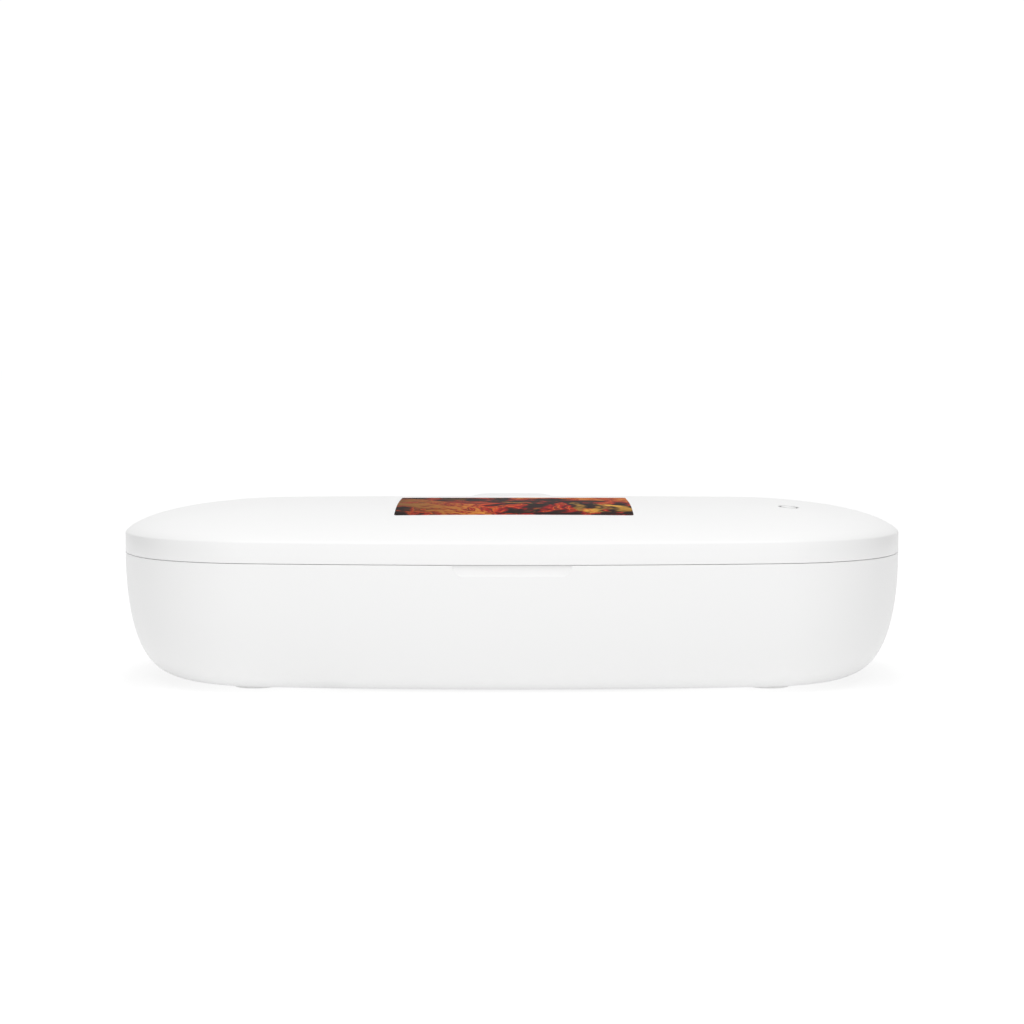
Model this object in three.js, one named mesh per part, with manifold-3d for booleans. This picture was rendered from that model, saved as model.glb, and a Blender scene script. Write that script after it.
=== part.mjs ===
// A box that cleans a phone with ultraviolet light: a bowl-shaped base with a mirrored tray, and a
// domed lid hinged along the rear edge. Millimetres, +Z up, the table at zero height, front along -Y.

import * as THREE from 'three';
import { mergeVertices } from 'three/addons/utils/BufferGeometryUtils.js';
import Module from 'manifold-3d';

const wasm = await Module();
wasm.setup();

// Driving dimensions: the plan outline at the parting line and the heights of the main forms
const length = 218;
const depth = 118;
const cornerRadius = 42.1;
const sideTurn = 8.6; // degrees that a long side bends through from its middle to the corner
const endTurn = 28.75; // the same for a short end
const footProud = 0.8; // the feet hold the base this far off the table
const baseHeight = 34.8; // underside of the bowl to the parting line
const bandHeight = 5.5; // upright side of the lid above the parting line
const crownHeight = 8.55; // dome of the lid above that side
const crownReach = 50; // how far in from the edge the dome keeps rising
const creaseRound = 0.8; // how much of the dome's steep start the crease takes away
const creaseInset = 0.62;
const bandRound = 0.7;
const crownStepShares = [0.015, 0.06, 0.14, 0.26, 0.4, 0.57, 0.76];
const innerCrownStepShares = [0.07, 0.19, 0.38, 0.76];
const middleStepShares = [0.6, 0.25];

// Walls and gaps
const wall = 2.4;
const floorThickness = 2.2;
const roofThickness = 2;
const partingGap = 0.5;
const seatGap = 0.3;
const overrun = 2; // every cut runs this far past the face it opens

// The curve of the bowl: it stands upright at the rim and rolls under into the flat floor
const bowlInset = 27.3;
const bowlInsetPowerShare = 0.408;
const bowlDropPowerShare = 0.948;
const bowlStepShares = [0.22, 0.42, 0.6, 0.75, 0.87, 0.96, 1];
const innerBowlStepShares = [0.2, 0.5, 0.74, 0.91, 1];

// The ledge inside the rim that carries the mirrored tray
const ledgeDrop = 3.2;
const ledgeWidth = 2.8;
const ledgeThickness = 1.8;

// Facets of the plan outline in each quarter, and of round parts
const sideSteps = 3;
const cornerSteps = 6;
const endSteps = 3;
const roundSteps = 20;
const smallRoundSteps = 8;

// Mirrored tray in the base
const trayThickness = 1.2;
const trayFlangeWidth = 5.6;
const trayFloorHeight = 16.2; // its upper face above the table
const trayDraft = 3.4;
const trayFillet = 6;
const trayLipRound = 1;
const filletStepShares = [0, 0.5, 1];

// Light seal on the tray's flange
const sealInset = 3.4;
const sealWidth = 2.2;
const sealLip = 0.5;

// Clear rails that hold the phone off the mirror
const railLength = 60;
const railHeight = 4;
const railWidth = 3;
const railSpread = 72;
const railArches = 3;
const railPost = 3;
const railTop = 1.4;

// Ultraviolet lamps: a strip of three diodes behind three windows, once in each half
const lampCount = 3;
const lampEndInset = 53; // from the end of the box to the outer lamp
const windowRadius = 6;
const windowFlange = 1.3;
const windowFlangeThickness = 0.6;
const windowSteps = 16;
const lampBoardWidth = 13;
const lampBoardEnd = 12; // board past the outer lamps
const boardThickness = 1.2;
const diodeSize = 3.5;
const diodeHeight = 1.1;
const diodeGap = 0.5;
const postRadius = 2.2;
const stakeRadius = 1;
const stakeProud = 0.4;

// Main board with its parts, and the charging inlet at the rear
const mainBoardLength = 76;
const mainBoardDepth = 32;
const mainBoardRearInset = 11.6; // from the rear of the box to its rear edge
const mainBoardHeight = 9.6;
const mainBoardCorner = 2;
const inletTabWidth = 18;
const inletTabReach = 3.4;
const mainPostInsetX = 6;
const mainPostInsetY = 5;
const inletWidth = 8.94;
const inletHeight = 3.26;
const inletDepth = 7.4;
const inletWall = 0.3;
const inletBack = 1;
const inletTongueWidth = 6.6;
const inletTongueHeight = 0.7;
const inletMouthInset = 4.1; // from the rear of the box to its mouth
const inletRecessMargin = 1.5;
const inletRecessInset = 3.7;
const chipSize = 8;
const chipHeight = 1.2;
const coilBlockSize = 6.5;
const coilBlockHeight = 2.8;
const plugBlockLength = 9;
const plugBlockWidth = 4;
const plugBlockHeight = 2.6;
const partSpacing = 15;

// Feet, and the screws under them that hold the tray down
const footInsetX = 39; // from the end and the side of the box to a foot's middle
const footInsetY = 31;
const footRadius = 6;
const footSink = 1;
const footRound = 0.5;
const screwHeadRadius = 2.6;
const screwHeadHeight = 1.2;
const screwShankRadius = 0.95;
const screwSlotWidth = 0.7;
const screwSlotDepth = 0.5;
const pilotRadius = 1.25;
const clearRadius = 1.5;
const bossRadius = 4;
const trayBossRadius = 3.4;
const bossTop = 6.5; // top of the base's screw bosses above the table
const headWell = 1.8;
const screwTip = 0.8; // air past the tip of a screw

// Finger scoop at the front, just under the parting line
const scoopWidth = 31.4;
const scoopFootWidth = 26;
const scoopHeight = 2.9;
const scoopDepth = 1.1;
const scoopRound = 2.2;
const scoopRoundSteps = 5;

// Catch: a bar magnet in each half at the front, and the sensor that sees the lid close
const magnetLength = 14;
const magnetWidth = 2.6;
const magnetHeight = 3;
const pocketWall = 1.2;
const sensorOffset = 17;
const sensorLength = 6;
const sensorBoard = 1.2;
const sensorHeight = 4;
const sensorChip = 0.8;
const sensorChipShare = 0.6;

// Hinge at the rear: the base's ear turns on a pin inside a hump on the lid
const hingeInset = 1.6; // pin in front of the rear of the box
const hingeHeight = 7.4; // pin above the parting line
const humpRadius = 5.2;
const humpHalf = 8; // half width of its straight top
const humpEnd = 12; // length of each rounded end
const humpNose = 17; // how far in front of the pin it runs out into the dome
const humpEndShares = [0, 0.28, 0.54, 0.76, 0.92, 1];
const humpUnderTurn = -150; // degrees, where its underside meets the inside of the lid
const humpRoundSteps = 16;
const earRadius = 3.5;
const earHalf = 7.4;
const earGap = 0.4;
const earRoot = 3; // how far the ear reaches down into the rear wall
const pinRadius = 1;
const pinGap = 0.25;
const pinHalf = 10;
const slotEdgeTurn = 64; // degrees from straight back up to the edge of the hump's slot

// Mirrored panel inside the lid
const panelThickness = 1.2;
const panelFlangeWidth = 6.4;
const panelRise = 2.2; // its middle lies this far above its flange
const panelSlope = 2;
const panelScrewInsetX = 47;
const panelScrewInsetY = 27;
const panelPilotDepth = 5.7; // holes in the lid's bosses

// Power button, right front of the lid
const buttonInsetX = 33; // from the right end and the front of the box
const buttonInsetY = 37;
const buttonRadius = 2.2;
const buttonGap = 0.5;
const buttonFlange = 1.2;
const buttonFlangeThickness = 0.8;
const buttonTravel = 0.35;
const buttonStemRadius = 1.2;
const switchSize = 6;
const switchHeight = 1.5;
const plungerRadius = 1.1;
const plungerHeight = 0.5;
const switchBoardLength = 20;
const switchBoardWidth = 15;
const switchBoardShift = 3; // its middle lies this far outboard of the button
const switchBoardGap = 0.8; // board above the panel's upper face

// Phone charger under the middle of the lid
const coilRadius = 22;
const coilHole = 9.5;
const coilThickness = 0.9;
const ferriteMargin = 2; // ferrite past the coil on each side
const ferriteThickness = 0.7;
const bracketThickness = 1;
const bracketPostMargin = 3; // posts outside the ferrite's edges
const bracketRim = 4; // bracket past the posts' middles
const bracketCorner = 5;
const bracketWindow = 8;

// Colours and finishes
const finishes = {
  shell: { color: 0xf2f2f2, roughness: 0.32, metalness: 0 },
  mirror: { color: 0xd8dadc, roughness: 0.08, metalness: 1 },
  clear: { color: 0xe8f0f4, roughness: 0.05, metalness: 0 },
  seal: { color: 0xc9c9c9, roughness: 0.8, metalness: 0 },
  board: { color: 0x1f5a3a, roughness: 0.6, metalness: 0 },
  steel: { color: 0xb4b6b8, roughness: 0.3, metalness: 1 },
  magnet: { color: 0x9a9c9e, roughness: 0.35, metalness: 1 },
  rubber: { color: 0xd0d0d0, roughness: 0.9, metalness: 0 },
  copper: { color: 0xb46a3c, roughness: 0.4, metalness: 1 },
  ferrite: { color: 0x2c2c2e, roughness: 0.7, metalness: 0 },
  inner: { color: 0xe0e0de, roughness: 0.6, metalness: 0 },
  black: { color: 0x1c1c1e, roughness: 0.5, metalness: 0 },
};

// Values worked out from the driving dimensions
const halfLength = length / 2;
const halfDepth = depth / 2;
const partingHeight = footProud + baseHeight;
const rimHeight = partingHeight - partingGap / 2;
const innerFloor = footProud + floorThickness;
const sideBowShare = Math.tan(radians(sideTurn) / 2); // of the way to the corner's middle
const endBowShare = Math.tan(radians(endTurn) / 2);
const cornerY = (halfDepth - cornerRadius - (halfLength - cornerRadius) * sideBowShare)
  / (1 - sideBowShare * endBowShare);
const cornerX = halfLength - cornerRadius - cornerY * endBowShare;
const sideCentre = cornerX / Math.tan(radians(sideTurn)) - cornerY;
const endCentre = cornerY / Math.tan(radians(endTurn)) - cornerX;
const hingeY = halfDepth - hingeInset;
const hingeStandoff = humpRadius - hingeInset; // how far the hump stands out at the rear
const lampPitch = (halfLength - lampEndInset) / ((lampCount - 1) / 2);
const stakeSpread = lampPitch / 2; // posts stand halfway between the lamps
const mainBoardRear = halfDepth - mainBoardRearInset;
const inletMouth = halfDepth - inletMouthInset;
const inletRecessFloor = halfDepth - inletRecessInset;
const footX = halfLength - footInsetX;
const footY = halfDepth - footInsetY;
const panelScrewX = halfLength - panelScrewInsetX;
const panelScrewY = halfDepth - panelScrewInsetY;
const buttonX = halfLength - buttonInsetX;
const buttonY = buttonInsetY - halfDepth;
const ferriteSize = (coilRadius + ferriteMargin) * 2;
const bracketPost = ferriteSize / 2 + bracketPostMargin;
const bracketSize = (bracketPost + bracketRim) * 2;

function radians(degrees) {
  return (degrees / 180) * Math.PI;
}

// Turning geometry into solids that can be joined and cut, and back

function solid(geometry) {
  const bare = geometry.clone();
  bare.deleteAttribute('normal');
  bare.deleteAttribute('uv');
  const merged = mergeVertices(bare);
  const corners = merged.index.array;
  const faces = [];
  for (let i = 0; i < corners.length; i += 3) {
    const [a, b, c] = [corners[i], corners[i + 1], corners[i + 2]];
    if (a !== b && b !== c && c !== a) faces.push(a, b, c);
  }
  return new wasm.Manifold(new wasm.Mesh({
    numProp: 3,
    vertProperties: Float32Array.from(merged.attributes.position.array),
    triVerts: Uint32Array.from(faces),
  }));
}

function join(first, ...others) {
  return others.reduce((all, next) => all.add(next), first);
}

function cut(first, ...others) {
  return others.reduce((all, next) => all.subtract(next), first);
}

function surface(manifold) {
  const { vertProperties, triVerts } = manifold.getMesh();
  const geometry = new THREE.BufferGeometry();
  geometry.setAttribute('position', new THREE.BufferAttribute(vertProperties, 3));
  geometry.setIndex(new THREE.BufferAttribute(triVerts, 1));
  geometry.computeVertexNormals();
  return geometry;
}

function piece(name, finish, manifold) {
  const mesh = new THREE.Mesh(surface(manifold), new THREE.MeshStandardMaterial(finishes[finish]));
  mesh.name = name;
  return mesh;
}

// The plan outline: three arcs in each quarter, all moved inwards alike by an inset

function arc(x, y, radius, from, to, steps) {
  return Array.from({ length: steps }, (_, i) => {
    const turn = from + (to - from) * (i / steps);
    return new THREE.Vector2(x + radius * Math.cos(turn), y + radius * Math.sin(turn));
  });
}

function planRing(inset) {
  const sideRadius = sideCentre + halfDepth;
  const endRadius = endCentre + halfLength;
  const front = -Math.PI / 2;
  const sideEnd = Math.atan2(-cornerY - sideCentre, cornerX);
  const endStart = Math.atan2(-cornerY, cornerX + endCentre);
  const quarter = [
    ...arc(0, sideCentre, sideRadius - inset, front, sideEnd, sideSteps),
    ...arc(cornerX, -cornerY, cornerRadius - inset, sideEnd, endStart, cornerSteps),
    ...arc(-endCentre, 0, endRadius - inset, endStart, 0, endSteps),
    new THREE.Vector2(halfLength - inset, 0),
  ];
  const rearQuarter = quarter.slice(0, -1).reverse().map((p) => new THREE.Vector2(p.x, -p.y));
  const right = [...quarter, ...rearQuarter];
  const left = right.slice(1, -1).reverse().map((p) => new THREE.Vector2(-p.x, p.y));
  return [...right, ...left];
}

function edgeDistance(x, y) {
  const px = Math.abs(x);
  const py = -Math.abs(y);
  const side = sideCentre + halfDepth - Math.hypot(px, py - sideCentre);
  const end = px + endCentre > 0 ? endCentre + halfLength - Math.hypot(px + endCentre, py) : side;
  const turn = Math.atan2(py + cornerY, px - cornerX);
  const sideEnd = Math.atan2(-cornerY - sideCentre, cornerX);
  const endStart = Math.atan2(-cornerY, cornerX + endCentre);
  const inCorner = turn > sideEnd && turn < endStart;
  return inCorner ? cornerRadius - Math.hypot(px - cornerX, py + cornerY) : Math.min(side, end);
}

function level(points, height) {
  return points.map((p) => new THREE.Vector3(p.x, p.y, height));
}

// Skins a row of rings with the same number of points. An open row is capped at both ends.

function loft(rings, closed = false) {
  const count = rings[0].length;
  const points = rings.flat();
  const faces = [];
  const bands = closed ? rings.length : rings.length - 1;
  for (let r = 0; r < bands; r += 1) {
    const low = r * count;
    const high = ((r + 1) % rings.length) * count;
    for (let i = 0; i < count; i += 1) {
      const next = (i + 1) % count;
      faces.push(low + i, low + next, high + next, low + i, high + next, high + i);
    }
  }
  if (!closed) {
    for (const [ring, flip] of [[0, true], [rings.length - 1, false]]) {
      const middle = new THREE.Vector3();
      rings[ring].forEach((p) => middle.addScaledVector(p, 1 / count));
      const hub = points.push(middle) - 1;
      for (let i = 0; i < count; i += 1) {
        const [a, b] = [ring * count + i, ring * count + ((i + 1) % count)];
        faces.push(hub, ...(flip ? [b, a] : [a, b]));
      }
    }
  }
  const geometry = new THREE.BufferGeometry().setFromPoints(points);
  geometry.setIndex(faces);
  return solid(geometry);
}

function profileLoft(profile, closed = false) {
  return loft(profile.map(([inset, height]) => level(planRing(inset), height)), closed);
}

// Small solids

function rod(radius, from, to, steps = smallRoundSteps) {
  const geometry = new THREE.CylinderGeometry(radius, radius, to - from, steps);
  geometry.rotateX(Math.PI / 2);
  geometry.translate(0, 0, (from + to) / 2);
  return solid(geometry);
}

function block(sizeX, sizeY, from, to) {
  const geometry = new THREE.BoxGeometry(sizeX, sizeY, to - from);
  geometry.translate(0, 0, (from + to) / 2);
  return solid(geometry);
}

function roundedRectangle(width, height, radius) {
  const [w, h] = [width / 2, height / 2];
  const shape = new THREE.Shape();
  shape.moveTo(-w + radius, -h);
  shape.lineTo(w - radius, -h);
  shape.absarc(w - radius, -h + radius, radius, -Math.PI / 2, 0);
  shape.absarc(w - radius, h - radius, radius, 0, Math.PI / 2);
  shape.absarc(-w + radius, h - radius, radius, Math.PI / 2, Math.PI);
  shape.absarc(-w + radius, -h + radius, radius, Math.PI, Math.PI * 1.5);
  return shape;
}

function upright(shape, from, to, curveSegments = 4) {
  const geometry = new THREE.ExtrudeGeometry(shape, { depth: to - from, bevelEnabled: false, curveSegments });
  geometry.translate(0, 0, from);
  return solid(geometry);
}

const alongX = new THREE.Matrix4().makeBasis(
  new THREE.Vector3(0, 1, 0), new THREE.Vector3(0, 0, 1), new THREE.Vector3(1, 0, 0));
const alongY = new THREE.Matrix4().makeBasis(
  new THREE.Vector3(1, 0, 0), new THREE.Vector3(0, 0, 1), new THREE.Vector3(0, -1, 0));

function prismX(shape, width, curveSegments = 6) {
  const geometry = new THREE.ExtrudeGeometry(shape, { depth: width, bevelEnabled: false, curveSegments });
  geometry.translate(0, 0, -width / 2);
  geometry.applyMatrix4(alongX);
  return solid(geometry);
}

function prismY(shape, fromY, toY, curveSegments = 4) {
  const options = { depth: toY - fromY, bevelEnabled: false, curveSegments };
  const geometry = new THREE.ExtrudeGeometry(shape, options);
  geometry.translate(0, 0, -toY);
  geometry.applyMatrix4(alongY);
  return solid(geometry);
}

function lathe(profile, steps = roundSteps) {
  const geometry = new THREE.LatheGeometry(profile.map(([r, z]) => new THREE.Vector2(r, z)), steps);
  geometry.rotateX(Math.PI / 2);
  return solid(geometry);
}

function fourCorners(x, y) {
  return [['front_left', -x, -y], ['front_right', x, -y], ['rear_left', -x, y], ['rear_right', x, y]];
}

function lampPlaces() {
  const names = ['left', 'centre', 'right'];
  return names.slice(0, lampCount).map((name, i) => [name, (i - (lampCount - 1) / 2) * lampPitch]);
}

// Base

function bowl(insetStart, top, floor, shares) {
  return shares.map((share) => {
    const turn = share * (Math.PI / 2);
    const inset = bowlInset * (1 - Math.max(Math.cos(turn), 0) ** bowlInsetPowerShare);
    const drop = (top - floor) * Math.sin(turn) ** bowlDropPowerShare;
    return [insetStart + (share === 1 ? bowlInset : inset), top - drop];
  });
}

function hingeEar() {
  const centreZ = partingHeight + hingeHeight;
  const outline = new THREE.Shape();
  const rootZ = rimHeight - earRoot;
  const rearY = halfDepth;
  const frontY = halfDepth - wall;
  const rearTurn = tangentTurn(rearY - hingeY, rimHeight - centreZ, 1);
  const frontTurn = tangentTurn(frontY - hingeY, rimHeight - centreZ, -1);
  outline.moveTo(frontY, rootZ);
  outline.lineTo(rearY, rootZ);
  outline.lineTo(rearY, rimHeight);
  outline.absarc(hingeY, centreZ, earRadius, rearTurn, frontTurn + Math.PI * 2);
  outline.lineTo(frontY, rimHeight);
  return prismX(outline, earHalf * 2);
}

// The turn at which a line from a point below meets the ear's eye and runs on round it
function tangentTurn(offsetY, offsetZ, side) {
  const reach = Math.hypot(offsetY, offsetZ);
  return Math.atan2(offsetZ, offsetY) + side * Math.acos(Math.min(1, earRadius / reach));
}

function pinRod(radius, half) {
  const geometry = new THREE.CylinderGeometry(radius, radius, half * 2, smallRoundSteps);
  geometry.rotateZ(Math.PI / 2);
  return solid(geometry).translate(0, hingeY, partingHeight + hingeHeight);
}

function scoopCutter() {
  const top = partingHeight + overrun;
  const foot = partingHeight - scoopHeight;
  const [w, f] = [scoopWidth / 2, scoopFootWidth / 2];
  const outline = new THREE.Shape();
  outline.moveTo(-w, top);
  outline.lineTo(-w, partingHeight);
  outline.quadraticCurveTo(-f - scoopRound / 2, foot, -f + scoopRound, foot);
  outline.lineTo(f - scoopRound, foot);
  outline.quadraticCurveTo(f + scoopRound / 2, foot, w, partingHeight);
  outline.lineTo(w, top);
  return prismY(outline, -halfDepth - overrun, -halfDepth + scoopDepth, scoopRoundSteps);
}

function catchPocket(top) {
  const height = magnetHeight + seatGap * 2 + pocketWall;
  const right = sensorOffset + sensorLength / 2 + seatGap + pocketWall;
  const left = -magnetLength / 2 - seatGap - pocketWall;
  const back = magnetRow() + magnetWidth / 2 + seatGap + pocketWall;
  const front = -halfDepth + wall / 2;
  const body = block(right - left, back - front, top - height, top)
    .translate((right + left) / 2, (back + front) / 2, 0);
  const magnetWell = block(magnetLength + seatGap * 2, magnetWidth + seatGap * 2,
    top - magnetHeight - seatGap * 2, top + overrun).translate(0, magnetRow(), 0);
  const sensorWell = block(sensorLength + seatGap * 2, sensorBoard + sensorChip + seatGap * 2,
    top - magnetHeight - seatGap * 2, top + overrun).translate(sensorOffset, magnetRow(), 0);
  return { body, wells: [magnetWell, sensorWell] };
}

function magnetRow() {
  return -halfDepth + wall + seatGap + magnetWidth / 2;
}

function inletHeightMiddle() {
  return mainBoardHeight + boardThickness + seatGap + inletHeight / 2;
}

function inletCutters() {
  const middle = inletHeightMiddle();
  const hole = roundedRectangle(inletWidth + seatGap * 2, inletHeight + seatGap * 2, inletHeight / 2);
  const recessWidth = inletWidth + inletRecessMargin * 2;
  const recessHeight = inletHeight + inletRecessMargin * 2;
  const recess = roundedRectangle(recessWidth, recessHeight, recessHeight / 2 - seatGap);
  return [
    prismY(hole, mainBoardRear, halfDepth + overrun).translate(0, 0, middle),
    prismY(recess, inletRecessFloor, halfDepth + overrun).translate(0, 0, middle),
  ];
}

function mainPosts() {
  const x = mainBoardLength / 2 - mainPostInsetX;
  const rear = mainBoardRear - mainPostInsetY;
  const front = mainBoardRear - mainBoardDepth + mainPostInsetY;
  return [[-x, front], [x, front], [-x, rear], [x, rear]];
}

function baseShell() {
  const ledge = rimHeight - ledgeDrop;
  const outer = bowl(0, partingHeight, footProud, bowlStepShares).reverse();
  const inner = bowl(wall, rimHeight, innerFloor, innerBowlStepShares);
  let body = profileLoft([
    ...outer, [0, rimHeight],
    [wall, rimHeight], [wall, ledge], [wall + ledgeWidth, ledge], [wall + ledgeWidth, ledge - ledgeThickness],
    ...inner,
  ]);
  const pocket = catchPocket(ledge);
  body = join(body, pocket.body, hingeEar());
  for (const [, x, y] of fourCorners(footX, footY)) {
    body = join(body, rod(bossRadius, innerFloor - floorThickness / 2, bossTop).translate(x, y, 0));
    body = cut(body,
      rod(footRadius + seatGap, footProud - overrun, footProud + footSink, roundSteps).translate(x, y, 0),
      rod(screwHeadRadius + seatGap, footProud, footProud + footSink + headWell).translate(x, y, 0),
      rod(clearRadius, footProud, bossTop + overrun).translate(x, y, 0));
  }
  for (const [x, y] of mainPosts()) {
    const top = mainBoardHeight - seatGap;
    const stakeTop = mainBoardHeight + boardThickness + stakeProud;
    body = join(body,
      rod(postRadius, innerFloor - floorThickness / 2, top).translate(x, y, 0),
      rod(stakeRadius, top - stakeProud, stakeTop).translate(x, y, 0));
  }
  return cut(body, scoopCutter(), ...pocket.wells, ...inletCutters(), pinRod(pinRadius + pinGap, humpHalf));
}

function trayProfile() {
  const flangeTop = trayFlangeTop();
  const flangeBottom = flangeTop - trayThickness;
  const floorTop = trayFloorHeight;
  const edge = wall + seatGap;
  const mouth = edge + trayFlangeWidth;
  const foot = mouth + trayDraft;
  const fillet = (radius, from) => filletStepShares.map((share) => {
    const turn = share * (Math.PI / 2);
    return [
      foot + from + trayFillet - radius * Math.cos(turn),
      floorTop + trayFillet - radius * Math.sin(turn),
    ];
  });
  const under = fillet(trayFillet + trayThickness, 0).reverse();
  const over = fillet(trayFillet, 0);
  return [
    ...under, [mouth - trayThickness, flangeBottom], [edge, flangeBottom], [edge, flangeTop],
    [mouth - trayLipRound, flangeTop], [mouth, flangeTop - trayLipRound / 2], ...over,
  ];
}

function trayFlangeTop() {
  return rimHeight - ledgeDrop + seatGap + trayThickness;
}

function windowHole() {
  return windowRadius + seatGap;
}

function stakePlaces() {
  return [-stakeSpread, stakeSpread];
}

function tray() {
  const under = trayFloorHeight - trayThickness;
  let body = profileLoft(trayProfile());
  for (const [, x, y] of fourCorners(footX, footY)) {
    const boss = rod(trayBossRadius, bossTop + seatGap, trayFloorHeight - trayThickness / 2);
    body = join(body, boss.translate(x, y, 0));
    body = cut(body, rod(pilotRadius, bossTop, under - screwTip / 2).translate(x, y, 0));
  }
  for (const x of stakePlaces()) {
    const board = under - lampBoardDrop();
    body = join(body,
      rod(postRadius, board + seatGap, trayFloorHeight - trayThickness / 2).translate(x, 0, 0),
      rod(stakeRadius, board - boardThickness - stakeProud, board + stakeProud).translate(x, 0, 0));
  }
  for (const [, x] of lampPlaces()) {
    const hole = rod(windowHole(), under - overrun, trayFloorHeight + overrun, roundSteps);
    body = cut(body, hole.translate(x, 0, 0));
  }
  return body;
}

// From the back of the mirror to the near face of the lamp board
function lampBoardDrop() {
  return seatGap + windowFlangeThickness + diodeGap + diodeHeight;
}

// A window seen with its light side up, its glass face flush with the mirror at zero height
function lampWindow() {
  const glassFoot = -(trayThickness + seatGap);
  return lathe([
    [0, glassFoot - windowFlangeThickness], [windowRadius + windowFlange, glassFoot - windowFlangeThickness],
    [windowRadius + windowFlange, glassFoot], [windowRadius, glassFoot], [windowRadius, 0], [0, 0],
  ], windowSteps);
}

// A lamp board with its diodes up and its near face at zero height
function lampBoard() {
  const boardLength = lampPitch * (lampCount - 1) + lampBoardEnd * 2;
  let body = upright(roundedRectangle(boardLength, lampBoardWidth, mainBoardCorner), -boardThickness, 0);
  for (const [, x] of lampPlaces()) {
    body = join(body, block(diodeSize, diodeSize, -boardThickness / 2, diodeHeight).translate(x, 0, 0));
  }
  const plugX = boardLength / 2 - plugBlockLength / 2 - mainBoardCorner / 2;
  const plugFoot = -boardThickness - plugBlockHeight;
  const plug = block(plugBlockWidth, plugBlockLength, plugFoot, -boardThickness / 2);
  body = join(body, plug.translate(plugX, 0, 0));
  for (const x of stakePlaces()) {
    body = cut(body, rod(stakeRadius + seatGap, -boardThickness - overrun, overrun).translate(x, 0, 0));
  }
  return body;
}

function sealRing() {
  const foot = trayFlangeTop() + seatGap;
  const top = partingHeight; // just under the lid's panel
  return profileLoft([
    [sealInset, foot], [sealInset + sealWidth / 2 - sealLip, top],
    [sealInset + sealWidth / 2 + sealLip, top], [sealInset + sealWidth, foot],
  ], true);
}

function rail() {
  const shape = new THREE.Shape();
  const bay = (railLength - railPost * (railArches + 1)) / railArches;
  shape.moveTo(-railLength / 2, 0);
  for (let i = 0; i < railArches; i += 1) {
    const start = -railLength / 2 + railPost + i * (bay + railPost);
    const rise = railHeight - railTop;
    shape.lineTo(start, 0);
    shape.lineTo(start, rise / 2);
    shape.quadraticCurveTo(start, rise, start + bay / 4, rise);
    shape.lineTo(start + bay - bay / 4, rise);
    shape.quadraticCurveTo(start + bay, rise, start + bay, rise / 2);
    shape.lineTo(start + bay, 0);
  }
  shape.lineTo(railLength / 2, 0);
  shape.lineTo(railLength / 2, railHeight - railTop / 2);
  shape.lineTo(railLength / 2 - railTop / 2, railHeight);
  shape.lineTo(-railLength / 2 + railTop / 2, railHeight);
  shape.lineTo(-railLength / 2, railHeight - railTop / 2);
  return prismX(shape, railWidth, 3).translate(0, 0, trayFloorHeight + seatGap);
}

function mainBoard() {
  const middle = mainBoardRear - mainBoardDepth / 2;
  const top = mainBoardHeight + boardThickness;
  const bed = mainBoardHeight + boardThickness / 2;
  const outline = roundedRectangle(mainBoardLength, mainBoardDepth, mainBoardCorner);
  const tabDepth = inletTabReach * 2;
  let body = join(
    upright(outline, mainBoardHeight, top).translate(0, middle, 0),
    block(inletTabWidth, tabDepth, mainBoardHeight, top).translate(0, mainBoardRear, 0),
    block(chipSize, chipSize, bed, top + chipHeight).translate(-partSpacing, middle, 0),
    block(chipSize / 2, chipSize / 2, bed, top + chipHeight).translate(partSpacing, middle - chipSize, 0),
    block(coilBlockSize, coilBlockSize, bed, top + coilBlockHeight)
      .translate(partSpacing, middle + chipSize, 0),
    rod(coilBlockSize / 2, bed, top + coilBlockHeight).translate(0, middle - chipSize / 2, 0),
    block(plugBlockLength, plugBlockWidth, bed, top + plugBlockHeight)
      .translate(-partSpacing, mainBoardRear - mainBoardDepth + plugBlockWidth, 0));
  for (const [x, y] of mainPosts()) {
    body = cut(body, rod(stakeRadius + seatGap, mainBoardHeight - overrun, top + overrun).translate(x, y, 0));
  }
  return body;
}

function inlet() {
  const innerWidth = inletWidth - inletWall * 2;
  const innerHeight = inletHeight - inletWall * 2;
  const outer = roundedRectangle(inletWidth, inletHeight, inletHeight / 2 - inletWall);
  const inner = roundedRectangle(innerWidth, innerHeight, innerHeight / 2 - inletWall);
  const back = inletMouth - inletDepth;
  const tongue = roundedRectangle(inletTongueWidth, inletTongueHeight, inletTongueHeight / 2 - inletWall / 2);
  return join(
    cut(prismY(outer, back, inletMouth, 3), prismY(inner, back + inletBack, inletMouth + overrun, 3)),
    prismY(tongue, back + inletBack / 2, inletMouth - inletBack, 1),
  ).translate(0, 0, inletHeightMiddle());
}

function foot() {
  const top = footProud + footSink - seatGap;
  return lathe([
    [0, 0], [footRadius - footRound, 0], [footRadius, footRound], [footRadius, top], [0, top],
  ]);
}

// A screw standing on its head, the seat of the head at zero height and the shank upwards
function screw(shankLength) {
  const head = lathe([
    [0, -screwHeadHeight], [screwHeadRadius - screwSlotDepth, -screwHeadHeight],
    [screwHeadRadius, -screwHeadHeight + screwSlotDepth], [screwHeadRadius, 0],
    [screwShankRadius, 0], [screwShankRadius, shankLength - screwShankRadius], [0, shankLength],
  ], smallRoundSteps);
  const slot = block(screwHeadRadius * 2 + overrun, screwSlotWidth,
    -screwHeadHeight - overrun, -screwHeadHeight + screwSlotDepth);
  return cut(head, slot);
}

function magnet(foot) {
  return block(magnetLength, magnetWidth, foot, foot + magnetHeight).translate(0, magnetRow(), 0);
}

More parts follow.
